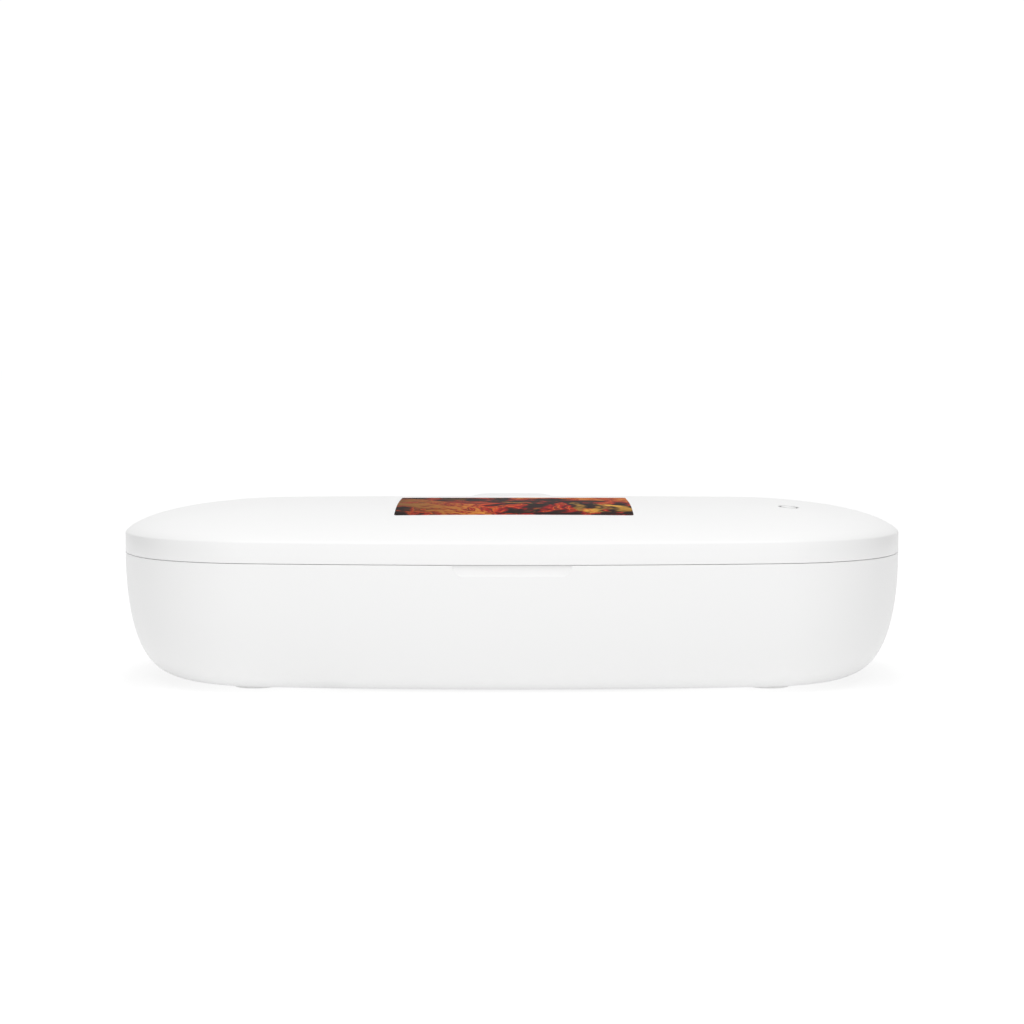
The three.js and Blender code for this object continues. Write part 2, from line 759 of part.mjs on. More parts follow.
function lidSensor() {
  const foot = rimHeight - ledgeDrop - magnetHeight - seatGap;
  const top = foot + magnetHeight;
  const boardY = magnetRow() + sensorChip / 2;
  const chipLength = sensorLength * sensorChipShare;
  return join(
    block(sensorLength, sensorBoard, foot, top).translate(sensorOffset, boardY, 0),
    block(chipLength, sensorChip + sensorBoard / 2, foot + sensorChip, top - sensorChip / 2)
      .translate(sensorOffset, boardY - sensorBoard / 4 - sensorChip / 2, 0));
}

// Lid, with heights measured from the parting line

function crownRise(edge) {
  const reach = crownReach + creaseRound;
  const part = (distance) => Math.sqrt(1 - (1 - Math.min(distance / reach, 1)) ** 2);
  const start = part(creaseRound);
  return crownHeight * ((part(edge + creaseRound) - start) / (1 - start));
}

function lidTop(x, y) {
  return bandHeight + crownRise(Math.max(edgeDistance(x, y) - creaseInset, 0));
}

// Rings of the dome from the crease inwards, lowered by a thickness
function crownRings(shares, thickness) {
  const rings = shares.map((share) => share * crownReach)
    .map((edge) => level(planRing(creaseInset + edge), bandHeight + crownRise(edge) - thickness));
  const last = rings[rings.length - 1];
  for (const share of middleStepShares) {
    rings.push(last.map((p) => new THREE.Vector3(p.x * share, p.y * share,
      lidTop(p.x * share, p.y * share) - thickness)));
  }
  return rings;
}

// One slice across the hump: round behind the pin, and a fairing that runs forward into the dome
function humpSlice(along, sizeShare) {
  const radius = humpRadius * sizeShare;
  const from = radians(humpUnderTurn);
  const points = [];
  for (let i = 0; i <= humpRoundSteps; i += 1) {
    const turn = from + (Math.PI / 2 - from) * (i / humpRoundSteps);
    const y = hingeY + radius * Math.cos(turn);
    points.push(new THREE.Vector3(along, y, hingeHeight + radius * Math.sin(turn)));
  }
  const noseY = hingeY - humpNose * sizeShare;
  const noseRise = (lidTop(along, noseY) - roofThickness / 2 - hingeHeight) * sizeShare;
  points.push(new THREE.Vector3(along, noseY, hingeHeight + noseRise));
  return points;
}

function hingeHump() {
  const right = humpEndShares.map((share) => [humpHalf + humpEnd * share, Math.sqrt(1 - share ** 2)]);
  const left = [...right].reverse().map(([along, sizeShare]) => [-along, sizeShare]);
  return loft([...left, ...right].map(([along, sizeShare]) => humpSlice(along, sizeShare)));
}

// The slot that lets the base's ear stand in the lid and swing as the lid opens
function hingeSlot() {
  const edgeTurn = radians(slotEdgeTurn);
  const reach = humpRadius + overrun;
  const radius = earRadius + earGap;
  const outline = new THREE.Shape();
  outline.moveTo(hingeY - radius, -overrun);
  outline.lineTo(hingeY + reach, -overrun);
  outline.lineTo(hingeY + reach, hingeHeight + reach * Math.tan(edgeTurn) * Math.cos(edgeTurn));
  outline.lineTo(hingeY + reach * Math.cos(edgeTurn), hingeHeight + reach * Math.sin(edgeTurn));
  outline.absarc(hingeY, hingeHeight, radius, edgeTurn, Math.PI);
  return prismX(outline, (earHalf + earGap) * 2, 8);
}

function lidShell() {
  const rim = partingGap / 2;
  const innerTop = bandHeight - bandRound;
  const outer = [level(planRing(0), rim), level(planRing(creaseInset / 2), bandHeight - bandRound),
    level(planRing(creaseInset), bandHeight), ...crownRings(crownStepShares, 0)];
  const inner = [level(planRing(wall), rim), level(planRing(wall), innerTop),
    ...crownRings(innerCrownStepShares, roofThickness)];
  let body = loft([...inner.reverse(), ...outer]);
  body = join(body, hingeHump());
  const roofEdge = panelTop() + seatGap;
  for (const [, x, y] of fourCorners(panelScrewX, panelScrewY)) {
    body = join(body, rod(bossRadius, roofEdge, lidTop(x, y) - roofThickness / 2).translate(x, y, 0));
    body = cut(body, rod(pilotRadius, roofEdge - overrun, roofEdge + panelPilotDepth).translate(x, y, 0));
  }
  for (const [, x, y] of fourCorners(bracketPost, bracketPost)) {
    const stakeFoot = bracketTop() - bracketThickness - stakeProud;
    body = join(body,
      rod(postRadius, bracketTop() + seatGap, lidTop(x, y) - roofThickness / 2).translate(x, y, 0),
      rod(stakeRadius, stakeFoot, bracketTop() + stakeProud).translate(x, y, 0));
  }
  const wellFoot = panelFlangeTop() + seatGap;
  const wellTop = wellFoot + magnetHeight + seatGap;
  const magnetCase = block(magnetLength + (seatGap + pocketWall) * 2, magnetWidth + seatGap * 2 + pocketWall,
    wellFoot, wellTop + pocketWall / 2);
  const magnetWell = block(magnetLength + seatGap * 2, magnetWidth + seatGap * 2, 0, wellTop);
  body = join(body, magnetCase.translate(0, magnetRow() + pocketWall / 2, 0));
  body = cut(body, magnetWell.translate(0, magnetRow(), 0));
  return cut(body, hingeSlot(), pinRod(pinRadius + pinGap, pinHalf + seatGap).translate(0, 0, -partingHeight),
    rod(buttonRadius + buttonGap, bandHeight, bandHeight + crownHeight + overrun, roundSteps)
      .translate(buttonX, buttonY, 0));
}

function panelFlangeTop() {
  return seatGap + panelThickness;
}

function panelTop() {
  return panelFlangeTop() + panelRise;
}

function lidPanel() {
  const edge = wall + seatGap;
  const foot = seatGap;
  const step = edge + panelFlangeWidth;
  const under = [
    [step + panelSlope, foot + panelRise], [step, foot], [edge, foot],
    [edge, foot + panelThickness], [step - panelThickness / 2, foot + panelThickness],
    [step + panelSlope - panelThickness / 2, panelTop()],
  ];
  let body = profileLoft(under);
  for (const [, x, y] of fourCorners(panelScrewX, panelScrewY)) {
    body = cut(body, rod(clearRadius, -overrun, panelTop() + overrun).translate(x, y, 0));
  }
  for (const x of stakePlaces()) {
    const board = panelTop() + lampBoardDrop();
    body = join(body,
      rod(postRadius, panelTop() - panelThickness / 2, board - seatGap).translate(x, 0, 0),
      rod(stakeRadius, board - stakeProud, board + boardThickness + stakeProud).translate(x, 0, 0));
  }
  for (const [, x] of lampPlaces()) {
    body = cut(body, rod(windowHole(), -overrun, panelTop() + overrun, roundSteps).translate(x, 0, 0));
  }
  for (const [x, y] of switchPosts()) {
    body = join(body,
      rod(postRadius, panelTop() - panelThickness / 2, switchBoardFoot() - seatGap).translate(x, y, 0),
      rod(stakeRadius, panelTop(), switchBoardFoot() + boardThickness + stakeProud).translate(x, y, 0));
  }
  const earNotch = block((earHalf + earGap) * 2, wall * 4, -overrun, panelTop() + overrun)
    .translate(0, halfDepth - wall, 0);
  return cut(body, earNotch);
}

function bracketTop() {
  return lidTop(0, coilRadius) - roofThickness - seatGap * 3 - coilThickness - ferriteThickness;
}

function bracket() {
  const outline = roundedRectangle(bracketSize, bracketSize, bracketCorner);
  let body = upright(outline, bracketTop() - bracketThickness, bracketTop());
  for (const [, x, y] of fourCorners(bracketPost, bracketPost)) {
    body = cut(body, rod(stakeRadius + seatGap, 0, bracketTop() + overrun).translate(x, y, 0));
  }
  return cut(body, rod(bracketWindow, 0, bracketTop() + overrun, roundSteps));
}

function ferrite() {
  const foot = bracketTop() + seatGap;
  return upright(roundedRectangle(ferriteSize, ferriteSize, bracketCorner), foot, foot + ferriteThickness);
}

function coil() {
  const foot = bracketTop() + seatGap * 2 + ferriteThickness;
  return cut(rod(coilRadius, foot, foot + coilThickness, roundSteps * 2),
    rod(coilHole, foot - overrun, foot + coilThickness + overrun, roundSteps));
}

function switchBoardFoot() {
  return panelTop() + switchBoardGap;
}

function switchPosts() {
  const reach = switchBoardLength / 2 - postRadius;
  const middle = buttonX + switchBoardShift;
  return [[middle - reach, buttonY], [middle + reach, buttonY]];
}

function switchBoard() {
  const foot = switchBoardFoot();
  let body = upright(roundedRectangle(switchBoardLength, switchBoardWidth, mainBoardCorner), foot,
    foot + boardThickness).translate(buttonX + switchBoardShift, buttonY, 0);
  for (const [x, y] of switchPosts()) {
    body = cut(body, rod(stakeRadius + seatGap, 0, foot + boardThickness + overrun).translate(x, y, 0));
  }
  return body;
}

function pressSwitch() {
  const foot = switchBoardFoot() + boardThickness + seatGap;
  return join(
    block(switchSize, switchSize, foot, foot + switchHeight),
    rod(plungerRadius, foot + switchHeight / 2, foot + switchHeight + plungerHeight),
  ).translate(buttonX, buttonY, 0);
}

function buttonCap() {
  const plungerTop = switchBoardFoot() + boardThickness + seatGap + switchHeight + plungerHeight;
  const stemFoot = plungerTop + buttonTravel + seatGap / 3;
  const reach = buttonRadius + buttonGap + buttonFlange;
  const roof = Math.min(...[-reach, 0, reach].map((step) => lidTop(buttonX + step, buttonY - Math.abs(step))))
    - roofThickness - seatGap;
  const stem = join(
    rod(buttonStemRadius, stemFoot, roof),
    rod(buttonRadius + buttonFlange, roof - buttonFlangeThickness, roof, roundSteps),
    rod(buttonRadius, roof - buttonFlangeThickness, bandHeight + crownHeight + overrun, roundSteps),
  ).translate(buttonX, buttonY, 0);
  const dome = loft([level(planRing(creaseInset), 0), level(planRing(creaseInset), bandHeight),
    ...crownRings(crownStepShares, 0)]);
  return stem.intersect(dome);
}

// Assembly

const box = new THREE.Group();
box.position.y = -hingeStandoff / 2; // the origin lies under the middle of the whole box, hinge hump included
const base = new THREE.Group();
const lid = new THREE.Group();
lid.position.z = partingHeight;
box.add(base, lid);

base.add(
  piece('base_shell', 'shell', baseShell()),
  piece('mirror_tray', 'mirror', tray()),
  piece('light_seal', 'seal', sealRing()),
  piece('main_board', 'board', mainBoard()),
  piece('charging_inlet', 'steel', inlet()),
  piece('lid_sensor', 'board', lidSensor()),
  piece('base_magnet', 'magnet', magnet(rimHeight - ledgeDrop - magnetHeight - seatGap)),
  piece('hinge_pin', 'steel', pinRod(pinRadius, pinHalf)),
);
for (const [name, side] of [['left', -1], ['right', 1]]) {
  const rest = piece(`phone_rail_${name}`, 'clear', rail());
  rest.position.x = side * (railSpread / 2);
  base.add(rest);
}
for (const [name, x, y] of fourCorners(footX, footY)) {
  const pad = piece(`foot_${name}`, 'rubber', foot());
  pad.position.set(x, y, 0);
  const seat = footProud + footSink + headWell - seatGap;
  const shank = trayFloorHeight - trayThickness - screwTip - seat;
  const fixing = piece(`tray_screw_${name}`, 'steel', screw(shank));
  fixing.position.set(x, y, seat);
  base.add(pad, fixing);
}
const baseLamps = piece('base_lamp_board', 'board', lampBoard());
baseLamps.position.z = trayFloorHeight - trayThickness - lampBoardDrop();
base.add(baseLamps);
for (const [name, x] of lampPlaces()) {
  const glass = piece(`base_window_${name}`, 'clear', lampWindow());
  glass.position.set(x, 0, trayFloorHeight);
  base.add(glass);
}

lid.add(
  piece('lid_shell', 'shell', lidShell()),
  piece('lid_panel', 'mirror', lidPanel()),
  piece('charger_bracket', 'inner', bracket()),
  piece('charger_ferrite', 'ferrite', ferrite()),
  piece('charger_coil', 'copper', coil()),
  piece('button_board', 'board', switchBoard()),
  piece('button_switch', 'black', pressSwitch()),
  piece('power_button', 'shell', buttonCap()),
  piece('lid_magnet', 'magnet', magnet(panelFlangeTop() + seatGap)),
);
for (const [name, x, y] of fourCorners(panelScrewX, panelScrewY)) {
  const fixing = piece(`panel_screw_${name}`, 'steel', screw(panelThickness + panelPilotDepth));
  fixing.position.set(x, y, panelTop() - panelThickness - seatGap);
  lid.add(fixing);
}
const lidLamps = piece('lid_lamp_board', 'board', lampBoard());
lidLamps.position.z = panelTop() + lampBoardDrop();
lidLamps.rotation.x = Math.PI;
lid.add(lidLamps);
for (const [name, x] of lampPlaces()) {
  const glass = piece(`lid_window_${name}`, 'clear', lampWindow());
  glass.position.set(x, 0, panelTop() - panelThickness);
  glass.rotation.x = Math.PI;
  lid.add(glass);
}

export default box;
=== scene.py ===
"""A box that cleans a phone with light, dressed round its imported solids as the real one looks.

Pieces are modelled in millimetres on the part's own axes, heights above the table, and
Blank.settle brings each one into the shared frame in metres.
"""
import logging
import math
from dataclasses import dataclass, field
from enum import Enum
from typing import Any, Callable, Sequence

import bmesh
import bpy
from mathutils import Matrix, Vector


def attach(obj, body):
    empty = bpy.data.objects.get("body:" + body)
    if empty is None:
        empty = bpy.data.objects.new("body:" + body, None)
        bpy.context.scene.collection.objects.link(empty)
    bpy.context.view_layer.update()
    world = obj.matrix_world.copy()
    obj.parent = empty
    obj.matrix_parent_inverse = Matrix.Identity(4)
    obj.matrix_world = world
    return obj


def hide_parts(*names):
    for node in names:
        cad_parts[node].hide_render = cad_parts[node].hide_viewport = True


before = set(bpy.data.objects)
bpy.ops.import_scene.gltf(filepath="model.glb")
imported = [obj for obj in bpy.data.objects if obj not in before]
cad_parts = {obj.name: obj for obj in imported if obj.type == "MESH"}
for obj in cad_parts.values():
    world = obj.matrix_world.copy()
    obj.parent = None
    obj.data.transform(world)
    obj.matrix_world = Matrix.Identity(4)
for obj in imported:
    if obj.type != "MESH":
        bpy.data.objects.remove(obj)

log = logging.getLogger("phone_box")

Place = tuple[float, float, float]
Pair = tuple[float, float]  # y and z, an inset and a height, or two heights
Colour = tuple[float, float, float]
Socket = bpy.types.NodeSocket

X, Y, Z = 0, 1, 2
MM = 0.001
SHIFT_Y = -1.8  # the frame's origin lies under the middle of the whole box, hinge hump included
WHOLE_TURN = 360.0
OVERRUN = 2.0  # every cutter runs this far past the face it opens
GAP = 0.3  # between neighbours
NEAR = 0.005  # faces nearer than this lie in one plane
LEVEL = 0.01  # points this close in height lie on one level
HAIR = 0.001  # less than this is nothing
SKIN = 0.05  # points this near the outline lie on the outer skin
BESIDE = 0.1  # how far a test that follows the outline reaches to its side
LONG = 1.0  # an edge that reaches this far along an axis runs along it
FACING = 0.9  # a face whose normal has this much of an axis looks along it
STILL = 1e-6  # a step shorter than this is none
LAP = 0.01  # how far a solid reaches into the one that it is added to
CREASE = math.radians(32)  # edges sharper than this stay crisp
MARK_REACH = (0.3, 0.75)  # where in the noise a handling mark starts and where it is full


class Join(Enum):
    """How one solid is put together with another."""

    ADD = "UNION"
    CUT = "DIFFERENCE"
    SHARE = "INTERSECT"


class Kind(Enum):
    """What is picked in edit mode."""

    FACE = "FACE"
    EDGE = "EDGE"
    VERT = "VERT"


# The bench: small steps of modelling that every piece uses


def leave_edit() -> None:
    """Goes back to object mode with nothing selected."""
    active = bpy.context.view_layer.objects.active
    if active is not None and active.mode != "OBJECT":
        bpy.ops.object.mode_set(mode="OBJECT")
    bpy.ops.object.select_all(action="DESELECT")


def span(edge: bmesh.types.BMEdge, axis: int) -> float:
    """Returns how far an edge reaches along an axis."""
    return abs(edge.verts[0].co[axis] - edge.verts[1].co[axis])


def both(edge: bmesh.types.BMEdge, test: Callable[[Vector], bool]) -> bool:
    """Says whether both ends of an edge pass a test on their place."""
    return all(test(end.co) for end in edge.verts)


class Blank:
    """A mesh on the bench, in millimetres on the part's own axes."""

    def __init__(self, name: str) -> None:
        """Takes over the primitive that was added last and names it.

        Args:
            name: the piece's name.
        """
        self.item = bpy.context.view_layer.objects.active
        self.item.name = name
        self.item.data.name = name
        bpy.ops.object.transform_apply(location=True, rotation=True, scale=True)

    def take(self) -> None:
        """Selects this object alone."""
        leave_edit()
        self.item.select_set(True)
        bpy.context.view_layer.objects.active = self.item

    def pick(self, kind: Kind, test: Callable[[Any], bool]) -> int:
        """Goes into edit mode and selects the parts of the mesh that pass a test.

        Args:
            kind: faces, edges or vertices.
            test: takes one of them and says whether it is wanted.

        Returns:
            How many were selected.
        """
        self.take()
        bpy.ops.object.mode_set(mode="EDIT")
        bpy.ops.mesh.select_mode(type=kind.value)
        bpy.ops.mesh.select_all(action="DESELECT")
        net = bmesh.from_edit_mesh(self.item.data)
        parts = {Kind.FACE: net.faces, Kind.EDGE: net.edges, Kind.VERT: net.verts}[kind]
        wanted = [part for part in parts if test(part)]
        for part in wanted:
            part.select_set(True)
        net.select_flush_mode()
        bmesh.update_edit_mesh(self.item.data)
        return len(wanted)

    def pick_all(self) -> None:
        """Goes into edit mode with the whole mesh selected."""
        self.take()
        bpy.ops.object.mode_set(mode="EDIT")
        bpy.ops.mesh.select_mode(type="VERT")
        bpy.ops.mesh.select_all(action="SELECT")

    def pick_cap(self, axis: int, side: int) -> None:
        """Selects the face that lies furthest out.

        Args:
            axis: X, Y or Z.
            side: 1 for the high end and -1 for the low one.
        """
        self.take()
        reach = max(side * face.center[axis] for face in self.item.data.polygons
                    if side * face.normal[axis] > FACING)
        self.pick(Kind.FACE, lambda f: side * f.normal[axis] > FACING
                  and side * f.calc_center_median()[axis] > reach - NEAR)

    def pull(self, x: float = 0.0, y: float = 0.0, z: float = 0.0) -> None:
        """Extrudes what is selected."""
        bpy.ops.mesh.extrude_region_move(TRANSFORM_OT_translate={"value": (x, y, z)})

    def walk(self, path: Sequence[Pair], side: int) -> None:
        """Steps the selected flat face along a path of rings.

        Args:
            path: pairs of inset from the outline and height, the first where the face is now.
            side: 1 when the face looks up and -1 when it looks down.
        """
        for (inset, height), (next_inset, next_height) in zip(path, path[1:]):
            rise = next_height - height
            if next_inset - inset < STILL:
                self.pull(z=rise)
            else:
                bpy.ops.mesh.inset(thickness=next_inset - inset, depth=rise * side)

    def narrow(self, width: float) -> None:
        """Draws a smaller face inside the selected one."""
        bpy.ops.mesh.inset(thickness=width, depth=0)

    def draw_in(self, share: float, rise: float) -> None:
        """Extrudes the selected face by a rise and shrinks it round the part's middle."""
        self.pull(z=rise)
        self.stretch((share, share, 1))

    def stretch(self, shares: Place, centre: Place = (0, 0, 0)) -> None:
        """Stretches what is selected from a centre."""
        bpy.ops.transform.resize(value=shares, center_override=centre)

    def soften(self, width: float, steps: int, test: Callable[[Any], bool]) -> None:
        """Rounds the edges that pass a test.

        Args:
            width: how far the round reaches from the edge.
            steps: how many faces it has.
            test: takes an edge and says whether it is wanted.
        """
        if self.pick(Kind.EDGE, test):
            bpy.ops.mesh.bevel(offset=width, segments=steps, affect="EDGES", clamp_overlap=True)
        leave_edit()

    def apply(self, kind: str, **settings: Any) -> None:
        """Runs a modifier over the piece.

        Args:
            kind: Blender's name of the modifier.
            settings: what it is set to.
        """
        self.take()
        tool = self.item.modifiers.new("tool", kind)
        for name, value in settings.items():
            setattr(tool, name, value)
        bpy.ops.object.modifier_apply(modifier=tool.name)

    def combine(self, other: "Blank", how: Join) -> None:
        """Adds another solid, cuts with it or keeps what both hold, and uses it up."""
        self.apply("BOOLEAN", operation=how.value, solver="EXACT", object=other.item)
        other.discard()

    def discard(self) -> None:
        """Takes the mesh off the bench."""
        bpy.data.objects.remove(self.item)

    def copy(self, name: str) -> "Blank":
        """Copies the piece.

        Args:
            name: the copy's name.

        Returns:
            The copy, with its own mesh.
        """
        self.take()
        bpy.ops.object.duplicate(linked=False)
        return Blank(name)

    def move(self, x: float = 0.0, y: float = 0.0, z: float = 0.0) -> "Blank":
        """Moves the whole mesh.

        Args:
            x: how far across.
            y: how far to the rear.
            z: how far up.

        Returns:
            The piece.
        """
        self.pick_all()
        bpy.ops.transform.translate(value=(x, y, z))
        leave_edit()
        return self

    def turn(self, degrees: float, axis: str, centre: Place = (0, 0, 0)) -> "Blank":
        """Turns the whole mesh, counter-clockwise about an axis.

        Args:
            degrees: how far.
            axis: the axis's letter.
            centre: a point on it.

        Returns:
            The piece.
        """
        self.pick_all()  # the operator turns clockwise when Blender has no window
        bpy.ops.transform.rotate(value=-math.radians(degrees), orient_axis=axis,
                                 center_override=centre)
        leave_edit()
        return self

    def tidy(self) -> "Blank":
        """Merges doubled points and faces the skin outwards.

        Returns:
            The piece.
        """
        self.pick_all()
        bpy.ops.mesh.remove_doubles(threshold=HAIR / 10)
        bpy.ops.mesh.normals_make_consistent(inside=False)
        leave_edit()
        return self

    def settle(self, body: str, slot: str, finish: "Finish", *nodes: str) -> None:
        """Smooths the piece, brings it into the frame in metres and hands it over.

        Args:
            body: the body that it rides on.
            slot: the record's material slot; not used.
            finish: what it is made of.
            nodes: the solids that it stands for.
        """
        self.take()
        bpy.ops.object.shade_smooth_by_angle(angle=CREASE)
        self.item.scale = (MM, MM, MM)
        self.item.location = (0, SHIFT_Y * MM, 0)
        bpy.ops.object.transform_apply(location=True, rotation=True, scale=True)
        self.item.data.materials.clear()
        self.item.data.materials.append(finish.material())
        log.info("%s rides on %s", self.item.name, body)
        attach(self.item, body)
        if nodes:
            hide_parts(*nodes)
        leave_edit()


def gather(parts: Sequence[Blank]) -> Blank:
    """Takes meshes into the first of them as they are.

    Args:
        parts: two meshes or more, which don't touch.

    Returns:
        The first, which now holds all.
    """
    parts[0].take()
    for part in parts[1:]:
        part.item.select_set(True)
    bpy.ops.object.join()
    return parts[0]


def rod(name: str, radius: float, foot: float, top: float, x: float = 0.0, y: float = 0.0,
        sides: int = 48) -> Blank:
    """Makes an upright round bar.

    Args:
        name: its name.
        radius: its radius.
        foot: height of its lower end.
        top: height of its upper end.
        x: its place across the box.
        y: its place from front to rear.
        sides: how many faces go round it.

    Returns:
        The bar.
    """
    leave_edit()
    bpy.ops.mesh.primitive_cylinder_add(vertices=sides, radius=radius, depth=top - foot,
                                        location=(x, y, (foot + top) / 2))
    return Blank(name)


def block(name: str, low: Place, high: Place) -> Blank:
    """Makes a block.

    Args:
        name: its name.
        low: its left, front and lower corner.
        high: the opposite corner.

    Returns:
        The block.
    """
    leave_edit()
    middle = [(a + b) / 2 for a, b in zip(low, high)]
    bpy.ops.mesh.primitive_cube_add(size=1, location=middle,
                                    scale=[b - a for a, b in zip(low, high)])
    return Blank(name)


def dot(name: str, x: float, y: float, z: float) -> Blank:
    """Makes a mesh of one point, from which an outline is drawn.

    Args:
        name: its name.
        x: its place across the box.
        y: its place from front to rear.
        z: its height.

    Returns:
        The point, selected in edit mode.
    """
    leave_edit()
    bpy.ops.mesh.primitive_plane_add(size=1, location=(x, y, z))
    start = Blank(name)
    start.pick_all()
    bpy.ops.mesh.merge(type="CENTER")
    return start


def sweep(degrees: float, steps: int, x: float, y: float, height: float) -> None:
    """Draws an arc round a middle from the selected point, counter-clockwise from above."""
    bpy.ops.mesh.spin(steps=steps, angle=-math.radians(degrees), center=(x, y, height),
                      axis=(0, 0, 1))


def fill(item: Blank, axis: int) -> None:
    """Closes a drawn outline with one face.

    Args:
        item: the outline.
        axis: the axis that the face looks along, towards its high end.
    """
    item.pick_all()
    bpy.ops.mesh.remove_doubles(threshold=HAIR)
    bpy.ops.mesh.edge_face_add()
    net = bmesh.from_edit_mesh(item.item.data)
    net.faces.ensure_lookup_table()
    if net.faces[0].normal[axis] < 0:
        bpy.ops.mesh.flip_normals()


def slab(name: str, points: Sequence[Pair], half: float) -> Blank:
    """Makes a solid of one outline, pulled across the box to both sides of the middle.

    Args:
        name: its name.
        points: the outline in y and z.
        half: how far it reaches to each side.

    Returns:
        The solid.
    """
    start = dot(name, -half, *points[0])
    for (y, z), (next_y, next_z) in zip(points, points[1:]):
        start.pull(y=next_y - y, z=next_z - z)
    fill(start, X)
    start.pull(x=half * 2)
    return start.tidy()


def arc(middle: Pair, radius: float, start: float, end: float, steps: int) -> list[Pair]:
    """Returns points in y and z on a round, between two turns in degrees from the rear."""
    turns = [math.radians(start + (end - start) * i / steps) for i in range(steps + 1)]
    return [(middle[0] + radius * math.cos(t), middle[1] + radius * math.sin(t)) for t in turns]


def quarter(steps: int) -> list[float]:
    """Returns the turns of the points on a quarter of a round, in radians."""
    return [math.pi / 2 * i / steps for i in range(steps + 1)]


def corners(x: float, y: float) -> list[tuple[str, float, float]]:
    """Returns the name and place of each of four things that stand in a rectangle."""
    return [("front_left", -x, -y), ("front_right", x, -y), ("rear_left", -x, y),
            ("rear_right", x, y)]


# Form of the box


@dataclass(frozen=True)
class Outline:
    """The plan: three arcs in each quarter, all moved inwards alike by an inset."""

    half_length: float = 109.0
    half_depth: float = 59.0
    corner_radius: float = 42.1
    side_turn: float = 8.6  # degrees that a long side bends through from its middle to the corner
    end_turn: float = 28.75  # the same for a short end
    side_steps: int = 12
    corner_steps: int = 16
    end_steps: int = 8

    def corner(self) -> Pair:
        """Finds the corner's arc.

        Returns:
            The place of its middle in the right rear quarter.
        """
        side = math.tan(math.radians(self.side_turn) / 2)
        end = math.tan(math.radians(self.end_turn) / 2)
        x, y = self.half_length - self.corner_radius, self.half_depth - self.corner_radius
        y = (y - x * side) / (1 - side * end)
        return x - y * end, y

    def centres(self) -> Pair:
        """Finds the arcs of the long front side and the short right end.

        Returns:
            How far behind the box's middle the side's arc has its own middle, and how far
            left of it the end's.
        """
        x, y = self.corner()
        side = x / math.tan(math.radians(self.side_turn)) - y
        return side, y / math.tan(math.radians(self.end_turn)) - x

    def plate(self, name: str, inset: float, height: float) -> Blank:
        """Makes one flat face in the plan's shape that looks up.

        Args:
            name: the piece's name.
            inset: how far inside the outline it ends.
            height: its height above the table.

        Returns:
            The face, selected in edit mode.
        """
        corner_x, corner_y = self.corner()
        side_centre, end_centre = self.centres()
        corner_turn = WHOLE_TURN / 4 - self.side_turn - self.end_turn
        plate = dot(name, 0, inset - self.half_depth, height)
        sweep(self.side_turn, self.side_steps, 0, side_centre, height)
        sweep(corner_turn, self.corner_steps, corner_x, -corner_y, height)
        sweep(self.end_turn, self.end_steps, -end_centre, 0, height)
        for mirror in ((-1, 1, 1), (1, -1, 1)):
            bpy.ops.mesh.select_all(action="SELECT")
            bpy.ops.mesh.duplicate()
            plate.stretch(mirror)
        fill(plate, Z)
        return plate

    def edge_distance(self, x: float, y: float) -> float:
        """Measures a place against the plan.

        Args:
            x: the place across the box.
            y: the place from front to rear.

        Returns:
            How far inside the outline it lies.
        """
        corner_x, corner_y = self.corner()
        side_centre, end_centre = self.centres()
        x, y = abs(x), -abs(y)
        turn = math.atan2(y + corner_y, x - corner_x)
        side_end = math.atan2(-corner_y - side_centre, corner_x)
        end_start = math.atan2(-corner_y, corner_x + end_centre)
        if side_end < turn < end_start:
            return self.corner_radius - math.hypot(x - corner_x, y + corner_y)
        side = side_centre + self.half_depth - math.hypot(x, y - side_centre)
        if x + end_centre <= 0:
            return side
        return min(side, end_centre + self.half_length - math.hypot(x + end_centre, y))


@dataclass(frozen=True)
class Crown:
    """The lid's dome above its upright band."""

    band_top: float = 41.25
    rise: float = 8.24
    reach: float = 56.98
    crease_round: float = 0.76
    crease_inset: float = 0.12
    fall_power: float = 3.125
    rise_power: float = 1.73

    def part(self, distance: float) -> float:
        """Returns the share of its rise that the dome's full curve has after a distance."""
        left = 1 - min(distance / (self.reach + self.crease_round), 1)
        return (1 - left ** self.fall_power) ** (1 / self.rise_power)

    def lift(self, edge: float) -> float:
        """Returns how far the dome has risen at a distance inside the crease."""
        start = self.part(self.crease_round)
        return self.rise * (self.part(edge + self.crease_round) - start) / (1 - start)

    def height(self, x: float, y: float) -> float:
        """Returns the height of the dome's skin over a place."""
        return self.band_top + self.lift(max(PLAN.edge_distance(x, y) - self.crease_inset, 0))


